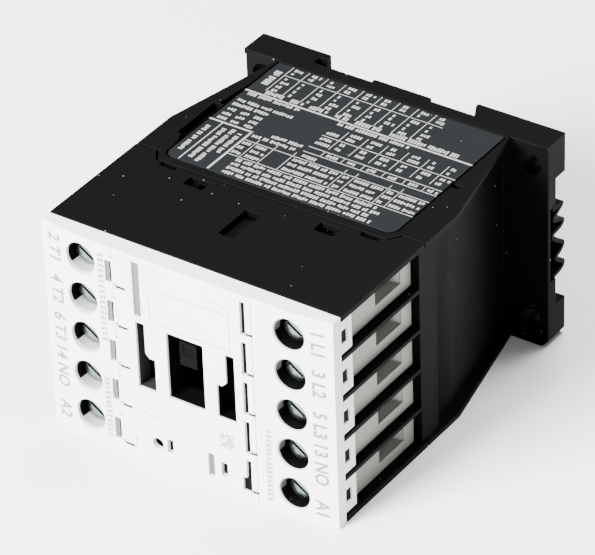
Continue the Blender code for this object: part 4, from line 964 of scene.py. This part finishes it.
def spring_body(work):
    block(work, (spring_low.x, spring_low.y + 1.3 * MM, spring_low.z), (30.2 * MM, 36.3 * MM, spring_high.z))


spring_core = add_piece("rail_spring_bar", spring_body, black, "rail_pusher")
soften_edges(spring_core, 0.2 * MM)
spring_band = add_piece("rail_spring_band", folded_band, black, "rail_pusher")
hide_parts("rail_spring")


# Stage: a plain pale table, soft studio light from above and in front, and the camera.
def table_top(work):
    bmesh.ops.create_grid(work, x_segments=1, y_segments=1, size=3.0)


work = bmesh.new()
table_top(work)
floor_mesh = bpy.data.meshes.new("table")
work.to_mesh(floor_mesh)
work.free()
table = bpy.data.objects.new("table", floor_mesh)
bpy.context.scene.collection.objects.link(table)
paper = bpy.data.materials.new("pale paper")
paper.use_nodes = True
paper.node_tree.nodes["Principled BSDF"].inputs["Base Color"].default_value = (0.93, 0.93, 0.93, 1)
paper.node_tree.nodes["Principled BSDF"].inputs["Roughness"].default_value = 0.9
floor_mesh.materials.append(paper)

world = bpy.data.worlds.new("studio")
world.use_nodes = True
world.node_tree.nodes["Background"].inputs["Color"].default_value = (1, 1, 1, 1)
world.node_tree.nodes["Background"].inputs["Strength"].default_value = 0.45
bpy.context.scene.world = world


def softbox(name, place, target, size, watts):
    lamp = bpy.data.lights.new(name, "AREA")
    lamp.shape = "SQUARE"
    lamp.size = size
    lamp.energy = watts
    holder = bpy.data.objects.new(name, lamp)
    holder.location = place
    holder.rotation_euler = (Vector(target) - Vector(place)).to_track_quat("-Z", "Y").to_euler()
    bpy.context.scene.collection.objects.link(holder)


softbox("front_softbox", (-0.35, -1.00, 0.62), (0, 0, 0.02), 0.5, 104.0)
softbox("top_softbox", (0.0, 0.50, 1.10), (0, 0, 0.02), 0.6, 26.0)

azimuth, elevation, roll = math.radians(35.466), math.radians(34.444), math.radians(-2.17)
viewing_distance = 808.57 * MM
back = Vector((
    math.sin(azimuth) * math.cos(elevation), -math.cos(azimuth) * math.cos(elevation),
    math.sin(elevation),
))
right = Vector((math.cos(azimuth), math.sin(azimuth), 0))
up = back.cross(right)
right_rolled = math.cos(roll) * right + math.sin(roll) * up
up_rolled = -math.sin(roll) * right + math.cos(roll) * up
lens = bpy.data.cameras.new("camera")
lens.lens = 263.75
lens.sensor_width = 36
lens.clip_end = 20
viewer = bpy.data.objects.new("camera", lens)
target = Vector((-1.08, -0.30, 21.97)) * MM
turn = Matrix((right_rolled, up_rolled, back)).transposed().to_4x4()
viewer.matrix_world = Matrix.Translation(target + back * viewing_distance) @ turn
bpy.context.scene.collection.objects.link(viewer)
bpy.context.scene.camera = viewer
